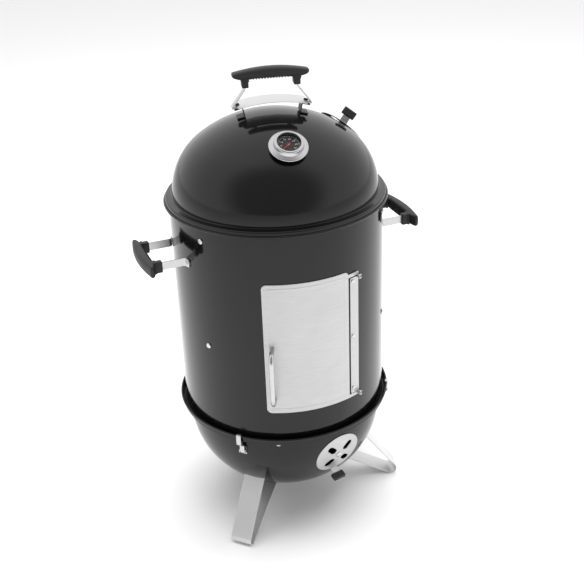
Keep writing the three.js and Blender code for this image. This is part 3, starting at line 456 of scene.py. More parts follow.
def rounded(corners, bend, steps=8):
    """Points along straight runs with each inner corner rounded."""
    points = [Vector(corners[0])]
    for i in range(1, len(corners) - 1):
        corner = Vector(corners[i])
        back = corner + (Vector(corners[i - 1]) - corner).normalized() * bend
        on = corner + (Vector(corners[i + 1]) - corner).normalized() * bend
        for k in range(steps + 1):
            s = k / steps
            points.append(back * (1 - s) ** 2 + corner * 2 * s * (1 - s) + on * s**2)
    points.append(Vector(corners[-1]))
    return points


TO_FRONT = Matrix(((0, 0, -1, 0), (-1, 0, 0, 0), (0, 1, 0, 0), (0, 0, 0, 1)))


def joined(name, *parts):
    """One object from several bmeshes."""
    whole = bmesh.new()
    for part in parts:
        mesh = bpy.data.meshes.new("part")
        part.to_mesh(mesh)
        part.free()
        whole.from_mesh(mesh)
        bpy.data.meshes.remove(mesh)
    return mesh_object(name, whole)


def dish(r):
    return math.sqrt(VENT_DISH_R**2 - r * r) - VENT_DISH_R


def vent_disc(name, place):
    radii = [3.3 + (VENT_R - 4) * i / 16 for i in range(17)]
    under = [(r, dish(r)) for r in radii] + [(VENT_R - 0.2, dish(VENT_R)), (VENT_R, dish(VENT_R) + 0.3)]
    over = [(VENT_R, dish(VENT_R) + 0.7), (VENT_R - 0.4, dish(VENT_R) + 1.0)]
    over += [(r, dish(r) + VENT_SHEET) for r in reversed(radii)]
    disc = mesh_object(name, lathe(under + over, 96))
    cut(disc, *vent_punches(Matrix.Identity(4), 0))
    whole = bmesh.new()
    whole.from_mesh(disc.data)
    whole.transform(Matrix.Scale(1 / MM, 4) @ Matrix.Translation((0, -AXIS_Y, 0)))
    bpy.data.objects.remove(disc)
    neck_line = rounded([(37, VENT_RIM + 2.6), (49, VENT_RIM + 1.6), (VENT_R + 2, VENT_RIM + VENT_NECK_H)], 4)
    neck = bent_strip(neck_line, 1.4, 16, 4, 0.5)
    neck.transform(TO_FRONT)
    whole.transform(place)
    neck.transform(place)
    return joined(name, whole, neck)


def block(width, depth, height, corner, place, ribs=0):
    """A moulded block centred on its place, edges rounded, with ribs across its outer face."""
    made = bmesh.new()
    bmesh.ops.create_cube(made, size=1)
    made.transform(Matrix.Diagonal((width, depth, height, 1)))
    bmesh.ops.bevel(made, geom=list(made.edges), offset=corner, segments=4, affect="EDGES", profile=0.5)
    for i in range(ribs):
        rib = bmesh.ops.create_cube(made, size=1)["verts"]
        spot = (i + 0.5) / ribs * (height - 4) - (height - 4) / 2
        shape = Matrix.Translation((0, -depth / 2, spot)) @ Matrix.Diagonal((width * 0.8, 0.7, 1.1, 1))
        bmesh.ops.transform(made, matrix=shape, verts=rib)
    made.transform(place)
    return made


def rivet(place, back):
    profile = [(0, VENT_SHEET + 3), (2.4, VENT_SHEET + 2.9), (4.6, VENT_SHEET + 2.2), (6.2, VENT_SHEET + 1),
               (6.4, VENT_SHEET + 0.3), (3, VENT_SHEET + 0.3), (3, back + 2),
               (6, back + 2), (6, back), (0, back)]
    made = lathe(profile, 40)
    made.transform(place)
    return made


def grip_plastic():
    """Glass-filled black nylon: a dull skin with a fine moulded grain."""
    plastic = Shade("grip_plastic", specular_ior_level=0.4)
    skin = plastic.noise(1400, 2)
    cloud = plastic.noise(30, 3)
    plastic.feed("Base Color", plastic.blend(cloud, (0.012, 0.012, 0.0125), (0.024, 0.024, 0.025)))
    plastic.feed("Roughness", 0.42 + cloud * 0.2)
    plastic.bump(skin, 0.0002, 0.5)
    return plastic.material


PLASTIC = grip_plastic()
VENT_STEEL = brushed("vent_steel", 0.6, (1, 1, 14), 60, 0.36, 0.00002, 0.7)
RIVET_STEEL = brushed("fastener_steel", 0.66, (1, 1, 1), 300, 0.25, 0.00002)


def add_vent(name, place, body, shell_body):
    disc = vent_disc(name + "_slotted_disc", place)
    dress(disc, VENT_STEEL, "stainless", body, name + "_disc")
    size = VENT_GRIP
    middle = VENT_RIM + VENT_NECK_H + 0.6 + size["height"] / 2
    spot = place @ Matrix.Translation((0, 1.5 - VENT_R - size["depth"] / 2, middle))
    grip = joined(name + "_grip_block", block(size["width"], size["depth"], size["height"], 1.6, spot, 4))
    dress(grip, PLASTIC, "grip_plastic", body, name + "_grip")
    pin = joined(name + "_pivot_rivet", rivet(place, -SHEET - 7))
    dress(pin, RIVET_STEEL, "stainless", shell_body, name + "_rivet")


BOWL_VENT_LIFT = Matrix.Translation((0, 0, 1.8))
add_vent("bowl_vent", BOWL_VENT @ BOWL_VENT_LIFT, "bowl_vent", "base")

# ---------------------------------------------------------------------------------------
# Legs: stainless strip bent to a narrow V. The outer arm leans on the bowl, the inner arm's
# flange is bolted under it.
# ---------------------------------------------------------------------------------------
LEG_T = 2.5
LEG_W = 46
LEG_TOP = (150.2, 148)
LEG_FLANGE = ((109.8, 69.9), (74.2, 56.8))
FOOT = {"radius": 238, "bend": 12}
LEG_AZIMUTHS = {"left": -60, "right": 60, "rear": 180}


def tangent_angle(centre, radius, point, side):
    to = Vector(point) - Vector(centre)
    return math.degrees(math.atan2(to.y, to.x)) + side * math.degrees(math.acos(radius / to.length))


def leg_line():
    centre = (FOOT["radius"], FOOT["bend"] + LEG_T / 2)
    start = tangent_angle(centre, FOOT["bend"], LEG_TOP, -1)
    end = tangent_angle(centre, FOOT["bend"], LEG_FLANGE[0], 1) - 360
    foot = arc(*centre, FOOT["bend"], start, end, 20)
    return [LEG_TOP, *foot[:-1]] + rounded([foot[-1], *LEG_FLANGE], 6)


LEG_STEEL = brushed("leg_steel", 0.72, (1, 1, 0.06), 900, 0.38, 0.00003, 0.7)
for side, azimuth in LEG_AZIMUTHS.items():
    strip = bent_strip(leg_line(), LEG_T, LEG_W, 7, 5)
    strip.transform(turned(azimuth + BOWL_TURN) @ TO_FRONT)
    dress(joined("strip_leg_" + side, strip), LEG_STEEL, "stainless", "base", "leg_" + side)

# ---------------------------------------------------------------------------------------
# Barrel: a rolled and welded steel tube, enamelled, with a beaded foot and a door opening.
# ---------------------------------------------------------------------------------------
BARREL_R = 215
BARREL_Z = [v[2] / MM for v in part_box("barrel_shell")]
BEAD_R = 2.4


def barrel_profile():
    low, high = BARREL_Z
    inner = BARREL_R - SHEET
    bead = low + BEAD_R
    return [
        (inner, low + 0.4),
        *arc(BARREL_R - 0.4 + BEAD_R, bead, BEAD_R, -90, 160, 14),
        (BARREL_R, bead + BEAD_R),
        (BARREL_R, high - 0.4),
        (BARREL_R - 0.4, high),
        (inner + 0.4, high),
        (inner, high - 0.4),
    ]


DOOR = {"azimuth": (-29.5, 17.5), "z": (323, 608), "corner": 10, "lap": 12}
DOOR_MIDDLE = sum(DOOR["azimuth"]) / 2
DOOR_R = BARREL_R + 0.8
DOOR_T = 1.4
DOOR_HALF = math.radians((DOOR["azimuth"][1] - DOOR["azimuth"][0]) / 2)


def box_cutter(half_x, z):
    made = bmesh.new()
    bmesh.ops.create_cube(made, size=1)
    size = Matrix.Diagonal((2 * half_x, BARREL_R, z[1] - z[0], 1))
    made.transform(turned(DOOR_MIDDLE) @ Matrix.Translation((0, -BARREL_R, (z[0] + z[1]) / 2)) @ size)
    upright = [e for e in made.edges if abs(e.verts[0].co.z - e.verts[1].co.z) < 1
               and abs((turned(-DOOR_MIDDLE) @ e.verts[0].co).x
                        - (turned(-DOOR_MIDDLE) @ e.verts[1].co).x) < 1]
    bmesh.ops.bevel(made, geom=upright, offset=DOOR["corner"], segments=6, affect="EDGES", profile=0.5)
    return mesh_object("door_cutter", made)


barrel = mesh_object("barrel_tube", lathe(barrel_profile(), 192))
half_opening = DOOR_R * math.sin(DOOR_HALF) - DOOR["lap"]
cut(barrel, box_cutter(half_opening, (DOOR["z"][0] + DOOR["lap"], DOOR["z"][1] - DOOR["lap"])))
dress(barrel, ENAMEL, "enamel", "barrel", "barrel_shell")

# ---------------------------------------------------------------------------------------
# Door: a stainless sheet rolled to the barrel's curve, a line pressed round inside its edge,
# two tabs at its right side that carry the hinge pins.
# ---------------------------------------------------------------------------------------
PRESSED_LINE = {"in": 9.5, "width": 1.6, "height": 0.45}


def grid_stops(half, border):
    """Grid lines from -half to half, close together near both edges."""
    near = [0, 0.35, 0.8, 1.5, 3, 5, 7]
    near += [border + d for d in (-1.6, -1.2, -0.8, -0.4, 0, 0.4, 0.8, 1.2, 1.6)] + [14, 18]
    inner = [-half + 22 + (2 * half - 44) * i / 24 for i in range(25)]
    left = [-half + d for d in near]
    return left + inner + [-v for v in reversed(left)]


def plate_height(x, y, half_x, half_y, corner):
    """How far a point of the plate stands out: its rolled edge and its pressed line."""
    dx = abs(x) - (half_x - corner)
    dy = abs(y) - (half_y - corner)
    inside = math.hypot(max(dx, 0), max(dy, 0)) + min(max(dx, dy), 0) - corner
    depth = -inside
    edge = 0.35 * (1 - min(depth / 0.9, 1)) ** 2
    line = (depth - PRESSED_LINE["in"]) / PRESSED_LINE["width"]
    return PRESSED_LINE["height"] * math.exp(-2.5 * line**2) - edge


def curved_plate(radius, thickness, azimuths, z, corner, pressed):
    """A rounded rectangle of sheet rolled to a radius about Z."""
    half_x = radius * math.radians(azimuths[1] - azimuths[0]) / 2
    half_y = (z[1] - z[0]) / 2
    middle = math.radians(sum(azimuths) / 2)
    columns = grid_stops(half_x, PRESSED_LINE["in"]) if pressed else [half_x * (i / 8 - 1) for i in range(17)]
    rows = grid_stops(half_y, PRESSED_LINE["in"]) if pressed else [half_y * (i / 30 - 1) for i in range(61)]
    made = bmesh.new()

    def spot(x, y, out):
        turn = middle + x / radius
        return ((radius + out) * math.sin(turn), -(radius + out) * math.cos(turn), y + sum(z) / 2)

    def held(x, y):
        """The point, brought onto the rounded corner when it lies outside it."""
        cx = math.copysign(half_x - corner, x)
        cy = math.copysign(half_y - corner, y)
        off = Vector((x - cx, y - cy))
        if (x - cx) * x > 0 and (y - cy) * y > 0 and off.length > corner:
            off.length = corner
            return cx + off.x, cy + off.y
        return x, y

    front, back = [], []
    for y in rows:
        held_row = [held(x, y) for x in columns]
        outs = [plate_height(px, py, half_x, half_y, corner) if pressed else 0 for px, py in held_row]
        front.append([made.verts.new(spot(px, py, thickness + o)) for (px, py), o in zip(held_row, outs)])
        back.append([made.verts.new(spot(px, py, max(o, 0))) for (px, py), o in zip(held_row, outs)])
    for i in range(len(rows) - 1):
        for j in range(len(columns) - 1):
            made.faces.new((front[i][j], front[i][j + 1], front[i + 1][j + 1], front[i + 1][j]))
            made.faces.new((back[i][j], back[i + 1][j], back[i + 1][j + 1], back[i][j + 1]))
    border = [(0, j) for j in range(len(columns))] + [(i, len(columns) - 1) for i in range(1, len(rows))]
    border += [(len(rows) - 1, j) for j in range(len(columns) - 2, -1, -1)]
    border += [(i, 0) for i in range(len(rows) - 2, 0, -1)]
    for (i, j), (k, m) in zip(border, border[1:] + border[:1]):
        made.faces.new((front[i][j], back[i][j], back[k][m], front[k][m]))
    bmesh.ops.remove_doubles(made, verts=made.verts, dist=1e-4)
    bmesh.ops.dissolve_degenerate(made, edges=made.edges, dist=1e-5)
    bmesh.ops.recalc_face_normals(made, faces=made.faces)
    return made


DOOR_STEEL = brushed("door_steel", 0.62, (1, 1, 26), 34, 0.42, 0.00002, 0.55)
HINGE_Z = (331, 591)
HINGE_AZIMUTHS = (18.7, 24.6)
HINGE_PIN = {"azimuth": 24, "out": 7.3}
TABS = {"upper": HINGE_Z[1] + 3, "lower": DOOR["z"][0]}


def hinge_ear(from_radius, z, width=6, thickness=1.5):
    out = BARREL_R + HINGE_PIN["out"] + 4
    line = [(from_radius, z + thickness / 2), (out, z + thickness / 2)]
    ear = bent_strip(line, thickness, width, 0.5, 2.6)
    ear.transform(turned(HINGE_PIN["azimuth"]) @ TO_FRONT)
    return ear


def door_tab(z):
    return curved_plate(DOOR_R, DOOR_T, (15.2, HINGE_AZIMUTHS[1]), (z, z + 7), 1.5, False)


door = joined(
    "door_sheet",
    curved_plate(DOOR_R, DOOR_T, DOOR["azimuth"], DOOR["z"], DOOR["corner"], True),
    door_tab(TABS["upper"]),
    door_tab(TABS["lower"]),
    hinge_ear(DOOR_R + 0.3, TABS["upper"] + 0.5),
    hinge_ear(DOOR_R + 0.3, TABS["lower"] + 2),
)
dress(door, DOOR_STEEL, "stainless", "door", "door_panel")

# ---------------------------------------------------------------------------------------
# Door handle: a polished bow of bar, welded to the door at both ends.
# ---------------------------------------------------------------------------------------
HANDLE = {"azimuth": -25.3, "z": (355, 470), "reach": 30.6, "r": 4.5, "bend": 22}


def rod(points, radius, sides=24):
    """A round bar along 3D points, its ends closed."""
    made = bmesh.new()
    rings = []
    normal = None
    for i, here in enumerate(points):
        tangent = (points[min(i + 1, len(points) - 1)] - points[max(i - 1, 0)]).normalized()
        if normal is None:
            normal = tangent.orthogonal().normalized()
        normal = (normal - tangent * normal.dot(tangent)).normalized()
        other = tangent.cross(normal)
        ring = []
        for k in range(sides):
            turn = 2 * math.pi * k / sides
            ring.append(made.verts.new(here + (normal * math.cos(turn) + other * math.sin(turn)) * radius))
        rings.append(ring)
    for a, b in zip(rings, rings[1:]):
        for j in range(sides):
            k = (j + 1) % sides
            made.faces.new((a[j], a[k], b[k], b[j]))
    made.faces.new(rings[0][::-1])
    made.faces.new(rings[-1])
    bmesh.ops.recalc_face_normals(made, faces=made.faces)
    return made


def chrome_plate():
    """Bright chrome with a faint haze of handling."""
    chrome = Shade("polished_chrome", metallic=1.0)
    haze = chrome.noise(24, 3)
    chrome.feed("Base Color", chrome.blend(haze, (0.5, 0.5, 0.51), (0.62, 0.62, 0.63)))
    chrome.feed("Roughness", 0.1 + haze * 0.12)
    chrome.bump(chrome.noise(160, 2), 0.00005, 0.2)
    return chrome.material


CHROME = chrome_plate()
foot_r = DOOR_R + DOOR_T + 0.3
out_r = DOOR_R + DOOR_T + HANDLE["reach"]
low, high = HANDLE["z"]
bow = rounded([(foot_r, high), (out_r, high), (out_r, low), (foot_r, low)], HANDLE["bend"], 14)
bar = rod([Vector((0, -x, z)) for x, z in bow], HANDLE["r"])
bar.transform(turned(HANDLE["azimuth"]))
dress(joined("door_bow_handle", bar), CHROME, "chrome", "door", "door_handle")

# ---------------------------------------------------------------------------------------
# Hinge strip: a narrow stainless plate screwed to the barrel. Short pins through its ears
# and the door's ears make the hinge.
# ---------------------------------------------------------------------------------------
SCREW_Z = (343, 463, 584)
SCREW_AZ = 20.4
HINGE_SHEET = 1.2


def pan_head(radius, height, place, shank, back):
    """A pan-head screw with its shank and nut behind it."""
    crown = [(radius * math.sin(math.radians(a)),
              0.3 + (height - 0.3) * (0.35 + 0.65 * math.cos(math.radians(a))))
             for a in range(0, 91, 10)]
    profile = crown + [(radius, 0.3), (shank, 0.3), (shank, back + 3), (shank * 1.8, back + 3),
                       (shank * 1.8, back), (0, back)]
    made = lathe(profile, 28)
    made.transform(place)
    return made


strip_plate = joined(
    "hinge_plate",
    curved_plate(BARREL_R + 0.5, HINGE_SHEET, HINGE_AZIMUTHS, HINGE_Z, 2, False),
    hinge_ear(BARREL_R + 0.8, HINGE_Z[1] - 1.5),
    hinge_ear(BARREL_R + 0.8, HINGE_Z[0]),
)
dress(strip_plate, DOOR_STEEL, "stainless", "barrel", "door_hinge_strip")
for i, z in enumerate(SCREW_Z):
    out = HINGE_SHEET + 0.5
    screw = pan_head(4, 2.2, seat(SCREW_AZ, BARREL_R + out, z), 2.4, -out - SHEET - 3.9)
    name = f"hinge_screw_{i + 1}"
    dress(joined("pan_" + name, screw), RIVET_STEEL, "stainless", "barrel", name)

# ---------------------------------------------------------------------------------------
# Grate brackets' screws: bright pan heads on the black wall, nuts inside.
# ---------------------------------------------------------------------------------------
BRACKET_AZIMUTHS = (-62.6, 57.4, 177.4)
BRACKET_SCREW_Z = {"lower": 452, "upper": 678.5}
for i, azimuth in enumerate(BRACKET_AZIMUTHS):
    for level, z in BRACKET_SCREW_Z.items():
        name = f"bracket_screw_{level}_{i + 1}"
        screw = pan_head(5.5, 3, seat(azimuth, BARREL_R, z), 2.4, -7.7)
        dress(joined("pan_" + name, screw), RIVET_STEEL, "stainless", "barrel", name)

# ---------------------------------------------------------------------------------------
# Side handles and lid handle: a stainless strap bent to a U and threaded through a moulded
# grip with finger ridges on its inner side.
# ---------------------------------------------------------------------------------------
GRIP = {"length": 148, "width": 26, "depth": 24, "drop": 9, "lug": 50, "lug_w": 13, "lug_down": 37}
STRAP_T = 2.5
STRAP_W = 17
STRAP_DEPTH = 13
HANDLE_REACH = 295
SIDE_HANDLE_Z = 620
RIDGES = 13


def grip_body(place):
    """A bowed grip, crown at y = 0 and fingers below it, ends rounded, ridges under its middle."""
    made = bmesh.new()
    half = GRIP["length"] / 2
    rings = []
    steps = 150
    for i in range(steps + 1):
        share = i / steps * 2 - 1
        x = half * share
        end = math.sqrt(max(1 - max((abs(share) - 0.94) / 0.06, 0) ** 2, 0.02))
        crown = -GRIP["drop"] * share**2
        slim = max((abs(share) - 0.76) / 0.24, 0)
        deep = GRIP["depth"] * 0.86 - 4.5 * slim**2
        wave = 0.5 + 0.5 * math.cos(2 * math.pi * x / (72 / RIDGES))
        ridge = 2.6 * wave if abs(x) < 36 else 1.6
        low_y = -deep - ridge * (1 - slim)
        high_y = crown
        middle, tall = (high_y + low_y) / 2, (high_y - low_y) / 2 * (0.6 + 0.4 * end)
        wide = GRIP["width"] / 2 * (0.6 + 0.4 * end) * (1 - 0.1 * share**2)
        ring = []
        for k in range(28):
            turn = 2 * math.pi * k / 28
            c, s = math.cos(turn), math.sin(turn)
            power = 2 / 3.2
            ring.append(made.verts.new((
                x,
                middle + tall * math.copysign(abs(s) ** power, s),
                wide * math.copysign(abs(c) ** power, c),
            )))
        rings.append(ring)
    for a, b in zip(rings, rings[1:]):
        for j in range(28):
            k = (j + 1) % 28
            made.faces.new((a[j], a[k], b[k], b[j]))
    made.faces.new(rings[0][::-1])
    made.faces.new(rings[-1])
    bmesh.ops.recalc_face_normals(made, faces=made.faces)
    made.transform(place)
    return made


def add_grip(name, place, body, stands_for):
    lugs = []
    tall = GRIP["lug_down"] - 12
    for side in (-1, 1):
        spot = place @ Matrix.Translation((side * GRIP["lug"], -12 - tall / 2, 0))
        lugs.append(block(GRIP["lug_w"], tall, GRIP["width"] * 0.88, 1.8, spot))
        collar = place @ Matrix.Translation((side * GRIP["lug"], -GRIP["depth"] + 1, 0))
        lugs.append(block(GRIP["lug_w"] + 3, 5, GRIP["width"] * 0.94, 1.6, collar))
    grip = joined(name, grip_body(place), *lugs)
    dress(grip, PLASTIC, "grip_plastic", body, stands_for)


def side_strap_line():
    at, flange = GRIP["lug"], 14
    circle = BARREL_R + 0.3 + STRAP_T / 2 + 0.35

    def wall(x):
        return math.sqrt(circle**2 - x**2) - HANDLE_REACH

    half = [(-at - flange, wall(at + flange)), (-at, wall(at)), (-at, -STRAP_DEPTH)]
    return rounded(half + [(-x, y) for x, y in reversed(half)], 5)


STRAP_STEEL = brushed("strap_steel", 0.62, (1, 1, 8), 120, 0.34, 0.00002)
for side, azimuth in (("left", -90), ("right", 90)):
    flat = turned(azimuth) @ Matrix.Translation((0, -HANDLE_REACH, SIDE_HANDLE_Z)) @ turned(180)
    add_grip("side_grip_" + side, flat, "barrel", "side_handle_grip_" + side)
    strap = bent_strip(side_strap_line(), STRAP_T, STRAP_W, 4, 4)
    strap.transform(flat)
    dress(joined("side_strap_" + side, strap), STRAP_STEEL, "stainless", "barrel",
          "side_handle_strap_" + side)

# ---------------------------------------------------------------------------------------
# Lid: a deep-drawn enamelled dome that sits inside the barrel's rim line, with a flange
# that rests on the barrel and a beaded skirt that hangs outside it.
# ---------------------------------------------------------------------------------------
LID_TURN = -13
DOME_R = 206.6
DOME_Z = BARREL_Z[1] + 4
SHOULDER_R = 132.3
CROWN_R = 255.4
CROWN_POLAR = math.degrees(math.asin((DOME_R - SHOULDER_R) / (CROWN_R - SHOULDER_R)))
CROWN_Z = DOME_Z - (CROWN_R - SHOULDER_R) * math.cos(math.radians(CROWN_POLAR))
SKIRT_R = 220
SKIRT_H = 11
LID_BEAD_R = 2.5


def dome_point(polar, lift=0.0):
    a = math.radians(polar)
    if polar <= CROWN_POLAR:
        return (CROWN_R + lift) * math.sin(a), CROWN_Z + (CROWN_R + lift) * math.cos(a)
    r = SHOULDER_R + lift
    return DOME_R - SHOULDER_R + r * math.sin(a), DOME_Z + r * math.cos(a)


def dome_curve(lift):
    polars = [90 * (i / 60) for i in range(61)]
    return [dome_point(p, lift) for p in polars]


def lid_profile():
    under = BARREL_Z[1] + 0.3
    bead = under - SKIRT_H + LID_BEAD_R
    top = under + SHEET
    return [
        *dome_curve(0),
        (DOME_R, top + 1.4),
        (DOME_R + 0.4, top + 0.5),
        (DOME_R + 1.4, top),
        (SKIRT_R + SHEET - 3, top),
        *arc(SKIRT_R + SHEET - 3, top - 3, 3, 80, 0, 6),
        *arc(SKIRT_R + 0.3 + LID_BEAD_R, bead, LID_BEAD_R, 120, -90, 14),
        (SKIRT_R, bead - LID_BEAD_R + 0.6),
        (SKIRT_R, under),
        (DOME_R - SHEET, under),
        *reversed(dome_curve(-SHEET)),
    ]


LID_VENT_POLAR = 49
LID_VENT = seat(118 + LID_TURN, *dome_point(LID_VENT_POLAR), 90 - LID_VENT_POLAR) @ turned(225)
lid = mesh_object("lid_dome", lathe(lid_profile(), 192))
cut(lid, *vent_punches(LID_VENT, 1))
dress(lid, ENAMEL, "enamel", "lid", "lid_shell")
add_vent("lid_vent", LID_VENT @ Matrix.Translation((0, 0, 1.6)), "lid_vent", "lid")

# ---------------------------------------------------------------------------------------
# Lid handle: its strap stands on two black feet, with an arched stainless heat shield
# between strap and grip.
# ---------------------------------------------------------------------------------------
LID_HANDLE_TOP = 965.5
SHIELD = {"lift": 24.5, "t": 1.2, "half_length": 68, "half_width": 28}
LID_FOOT_R = 61
LID_FOOT_POLAR = math.degrees(math.asin(LID_FOOT_R / CROWN_R))


def lid_strap_line():
    at, down = GRIP["lug"], GRIP["lug_down"]
    level = SHIELD["lift"] - SHIELD["t"] / 2 - 0.3 - STRAP_T / 2

    def flange(r):
        offset = r - LID_FOOT_R
        x, z = dome_point(LID_FOOT_POLAR, level)
        polar = math.radians(LID_FOOT_POLAR)
        return x + offset * math.cos(polar), z - offset * math.sin(polar) - LID_HANDLE_TOP

    out_x, out_y = flange(SHIELD["half_length"] + 6)
    in_x, in_y = flange(LID_FOOT_R - 8)
    half = [(-in_x, in_y), (-out_x, out_y), (-at, -down - 2), (-at, -STRAP_DEPTH)]
    return rounded(half + [(-x, y) for x, y in reversed(half)], 5)


upright_place = (
    turned(LID_TURN) @ Matrix.Translation((0, 0, LID_HANDLE_TOP)) @ Matrix.Rotation(math.pi / 2, 4, "X")
)
add_grip("lid_grip", upright_place, "lid", "lid_handle_grip")
lid_strap = bent_strip(lid_strap_line(), STRAP_T, STRAP_W, 4, 4)
lid_strap.transform(upright_place)
dress(joined("lid_strap", lid_strap), STRAP_STEEL, "stainless", "lid", "lid_handle_strap")

reach = math.degrees(math.asin(SHIELD["half_length"] / (CROWN_R + SHIELD["lift"])))
shield_line = arc(0, CROWN_Z, CROWN_R + SHIELD["lift"], 90 - reach, 90 + reach, 40)
shield = bent_strip(shield_line, SHIELD["t"], 2 * SHIELD["half_width"], 9, 9)
shield.transform(turned(LID_TURN) @ Matrix.Rotation(math.pi / 2, 4, "X"))
SHIELD_STEEL = brushed("shield_steel", 0.74, (22, 1, 1), 40, 0.32, 0.00002)
dress(joined("heat_shield_plate", shield), SHIELD_STEEL, "stainless", "lid", "heat_shield")

# ---------------------------------------------------------------------------------------
# Thermometer: a turned chrome case with a black dial, white ticks and plain numbers, a red
# needle and a clear lens.
# ---------------------------------------------------------------------------------------
THERMO_AZ = 5
THERMO_POLAR = 30.2
THERMO = {"flange": 37.4, "dial": 23.4, "height": 20, "stem": 70}
thermo_place = turned(LID_TURN) @ seat(THERMO_AZ, *dome_point(THERMO_POLAR), 90 - THERMO_POLAR)
dial_z = THERMO["height"] - 8


def case_profile():
    inner, top = THERMO["dial"] + 0.6, THERMO["height"]
    return [
        (0, dial_z - 3), (inner, dial_z - 3), (inner, top - 3),
        (inner - 1.2, top - 1.4), (inner - 1.2, top - 0.4),
        *arc(inner + 1.2, top - 2.4, 2.4, 90, 0, 8),
        (inner + 4.2, top - 6), (inner + 5, top - 9.2),
        (inner + 7.5, 10.2), (THERMO["flange"] - 3, 9.2),
        *arc(THERMO["flange"] - 2.2, 6.8, 2.2, 80, -60, 8),
        (THERMO["flange"] - 6, 4), (11, 4), (11, 1), (7, 1), (7, -12), (3, -14),
        (3, 2 - THERMO["stem"]), (0, -THERMO["stem"]),
    ]


case = lathe(case_profile(), 96)
case.transform(thermo_place)
dress(joined("thermometer_bezel", case), CHROME, "chrome", "lid", "thermometer_case")

dial_black = Shade("dial_black", roughness=0.4)
dial_black.feed("Base Color",
                dial_black.blend(dial_black.noise(400, 2), (0.006, 0.006, 0.006), (0.016, 0.016, 0.017)))
dial_plate = lathe([(0, dial_z - 2.7), (THERMO["dial"], dial_z - 2.7),
                    (THERMO["dial"], dial_z - 1.7), (0, dial_z - 1.7)], 72)
dial_plate.transform(thermo_place)
dress(joined("thermometer_dial_plate", dial_plate), dial_black.material, "dial", "lid", "thermometer_dial")

DIAL_SWEEP = (128, -128)
TICKS = 28
NUMBERS = 8


def bar_mark(angle, radius, length, width):
    made = bmesh.new()
    bmesh.ops.create_cube(made, size=1)
    shape = Matrix.Translation((0, radius, dial_z - 1.6)) @ Matrix.Diagonal((width, length, 0.16, 1))
    made.transform(thermo_place @ turned(angle) @ shape)
    return made


def number(text, angle, radius, size):
    curve = bpy.data.curves.new("number", "FONT")
    curve.body = text
    curve.size = size
    curve.extrude = 0.06
    curve.align_x = "CENTER"
    curve.align_y = "CENTER"
    holder = bpy.data.objects.new("number", curve)
    scene.collection.objects.link(holder)
    bpy.context.view_layer.update()
    mesh = bpy.data.meshes.new_from_object(holder.evaluated_get(bpy.context.evaluated_depsgraph_get()))
    made = bmesh.new()
    made.from_mesh(mesh)
    bpy.data.objects.remove(holder)
    a = math.radians(angle + 90)
    made.transform(thermo_place
                   @ Matrix.Translation((radius * math.cos(a), radius * math.sin(a), dial_z - 1.6)))
    return made


marks = []
for i in range(TICKS + 1):
    angle = DIAL_SWEEP[0] + (DIAL_SWEEP[1] - DIAL_SWEEP[0]) * i / TICKS
    major = i % 4 == 0
    marks.append(bar_mark(angle, 19.6 if major else 20.2, 3.6 if major else 2.2, 0.8 if major else 0.45))
for i in range(NUMBERS):
    angle = DIAL_SWEEP[0] + (DIAL_SWEEP[1] - DIAL_SWEEP[0]) * i / (NUMBERS - 1)
    marks.append(number(str(50 * i), angle, 14.2, 3.4))
dial_white = Shade("dial_white", roughness=0.5)
dial_white.feed("Base Color",
                dial_white.blend(dial_white.noise(500, 2), (0.72, 0.72, 0.72), (0.85, 0.85, 0.85)))
dress(joined("thermometer_marks", *marks), dial_white.material, "dial", "lid")

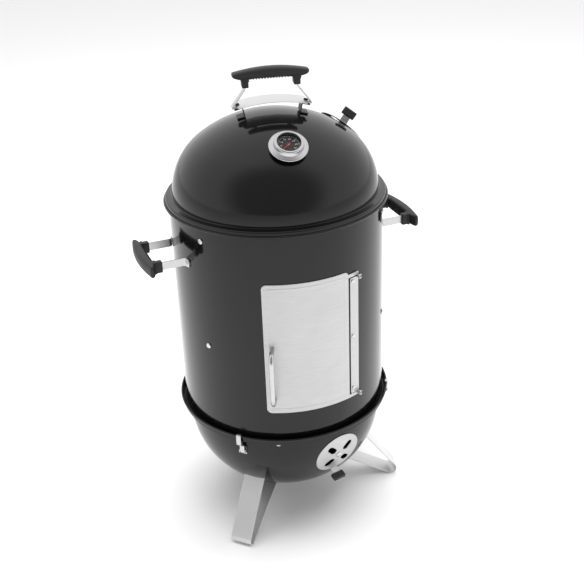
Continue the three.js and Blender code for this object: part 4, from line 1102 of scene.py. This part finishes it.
NEEDLE_REST = 128
needle_red = Shade("needle_red", roughness=0.35)
needle_red.feed("Base Color",
                needle_red.blend(needle_red.noise(600, 2), (0.5, 0.03, 0.02), (0.65, 0.06, 0.04)))
length = THERMO["dial"] * 0.78
blade = bmesh.new()
low_z, high_z = dial_z - 1.0, dial_z - 0.4
outline = [(-1, -length * 0.25), (1, -length * 0.25), (0.3, length), (-0.3, length)]
bottom = [blade.verts.new((x, y, low_z)) for x, y in outline]
top = [blade.verts.new((x, y, high_z)) for x, y in outline]
blade.faces.new(bottom[::-1])
blade.faces.new(top)
for i in range(4):
    blade.faces.new((bottom[i], bottom[(i + 1) % 4], top[(i + 1) % 4], top[i]))
hub = lathe([(0, dial_z - 1.4), (2.2, dial_z - 1.4), (2.2, dial_z - 0.2), (1.4, dial_z), (0, dial_z)], 32)
for part in (blade, hub):
    part.transform(thermo_place @ turned(NEEDLE_REST))
dress(joined("thermometer_pointer", blade, hub), needle_red.material, "needle",
      "needle", "thermometer_needle")

lens_glass = Shade("lens_glass", alpha=0.1, specular_ior_level=0.6)
lens_glass.feed("Base Color",
                lens_glass.blend(lens_glass.noise(60, 2), (0.02, 0.02, 0.02), (0.03, 0.03, 0.03)))
lens_glass.feed("Roughness", 0.03 + lens_glass.noise(60, 2) * 0.03)
lens_r = THERMO["dial"] + 0.3
lens_low = THERMO["height"] - 4.8
lens = lathe([(0, lens_low), (lens_r, lens_low), (lens_r, lens_low + 1.4),
              (lens_r * 0.6, lens_low + 1.8), (0, lens_low + 1.9)], 72)
lens.transform(thermo_place)
dress(joined("thermometer_glass", lens), lens_glass.material, "lens", "lid", "thermometer_lens")

# ---------------------------------------------------------------------------------------
# Pieces that keep their frame shape: latches, brackets, grates, pins, bolts and the feet
# under the lid handle.
# ---------------------------------------------------------------------------------------
PLATED = brushed("plated_steel", 0.5, (1, 1, 1), 160, 0.3, 0.00003)
FOOT_BLACK = Shade("foot_black")
FOOT_BLACK.feed("Base Color",
                FOOT_BLACK.blend(FOOT_BLACK.noise(60, 3), (0.008, 0.008, 0.008), (0.02, 0.02, 0.02)))
FOOT_BLACK.feed("Roughness", 0.35 + FOOT_BLACK.noise(90, 2) * 0.2)
KEPT = {
    "latch_": STRAP_STEEL,
    "leg_bolt_": RIVET_STEEL,
    "door_hinge_pin_": RIVET_STEEL,
    "charcoal_": PLATED,
    "grate_bracket_": PLATED,
    "upper_grate": CHROME,
    "lower_grate": CHROME,
    "water_bowl": ENAMEL,
    "lid_handle_foot_": FOOT_BLACK.material,
    "thermometer_nut": RIVET_STEEL,
}
for start, material in KEPT.items():
    for name, node in nodes.items():
        if name.startswith(start):
            node.data.materials.clear()
            node.data.materials.append(material)

bpy.context.view_layer.update()
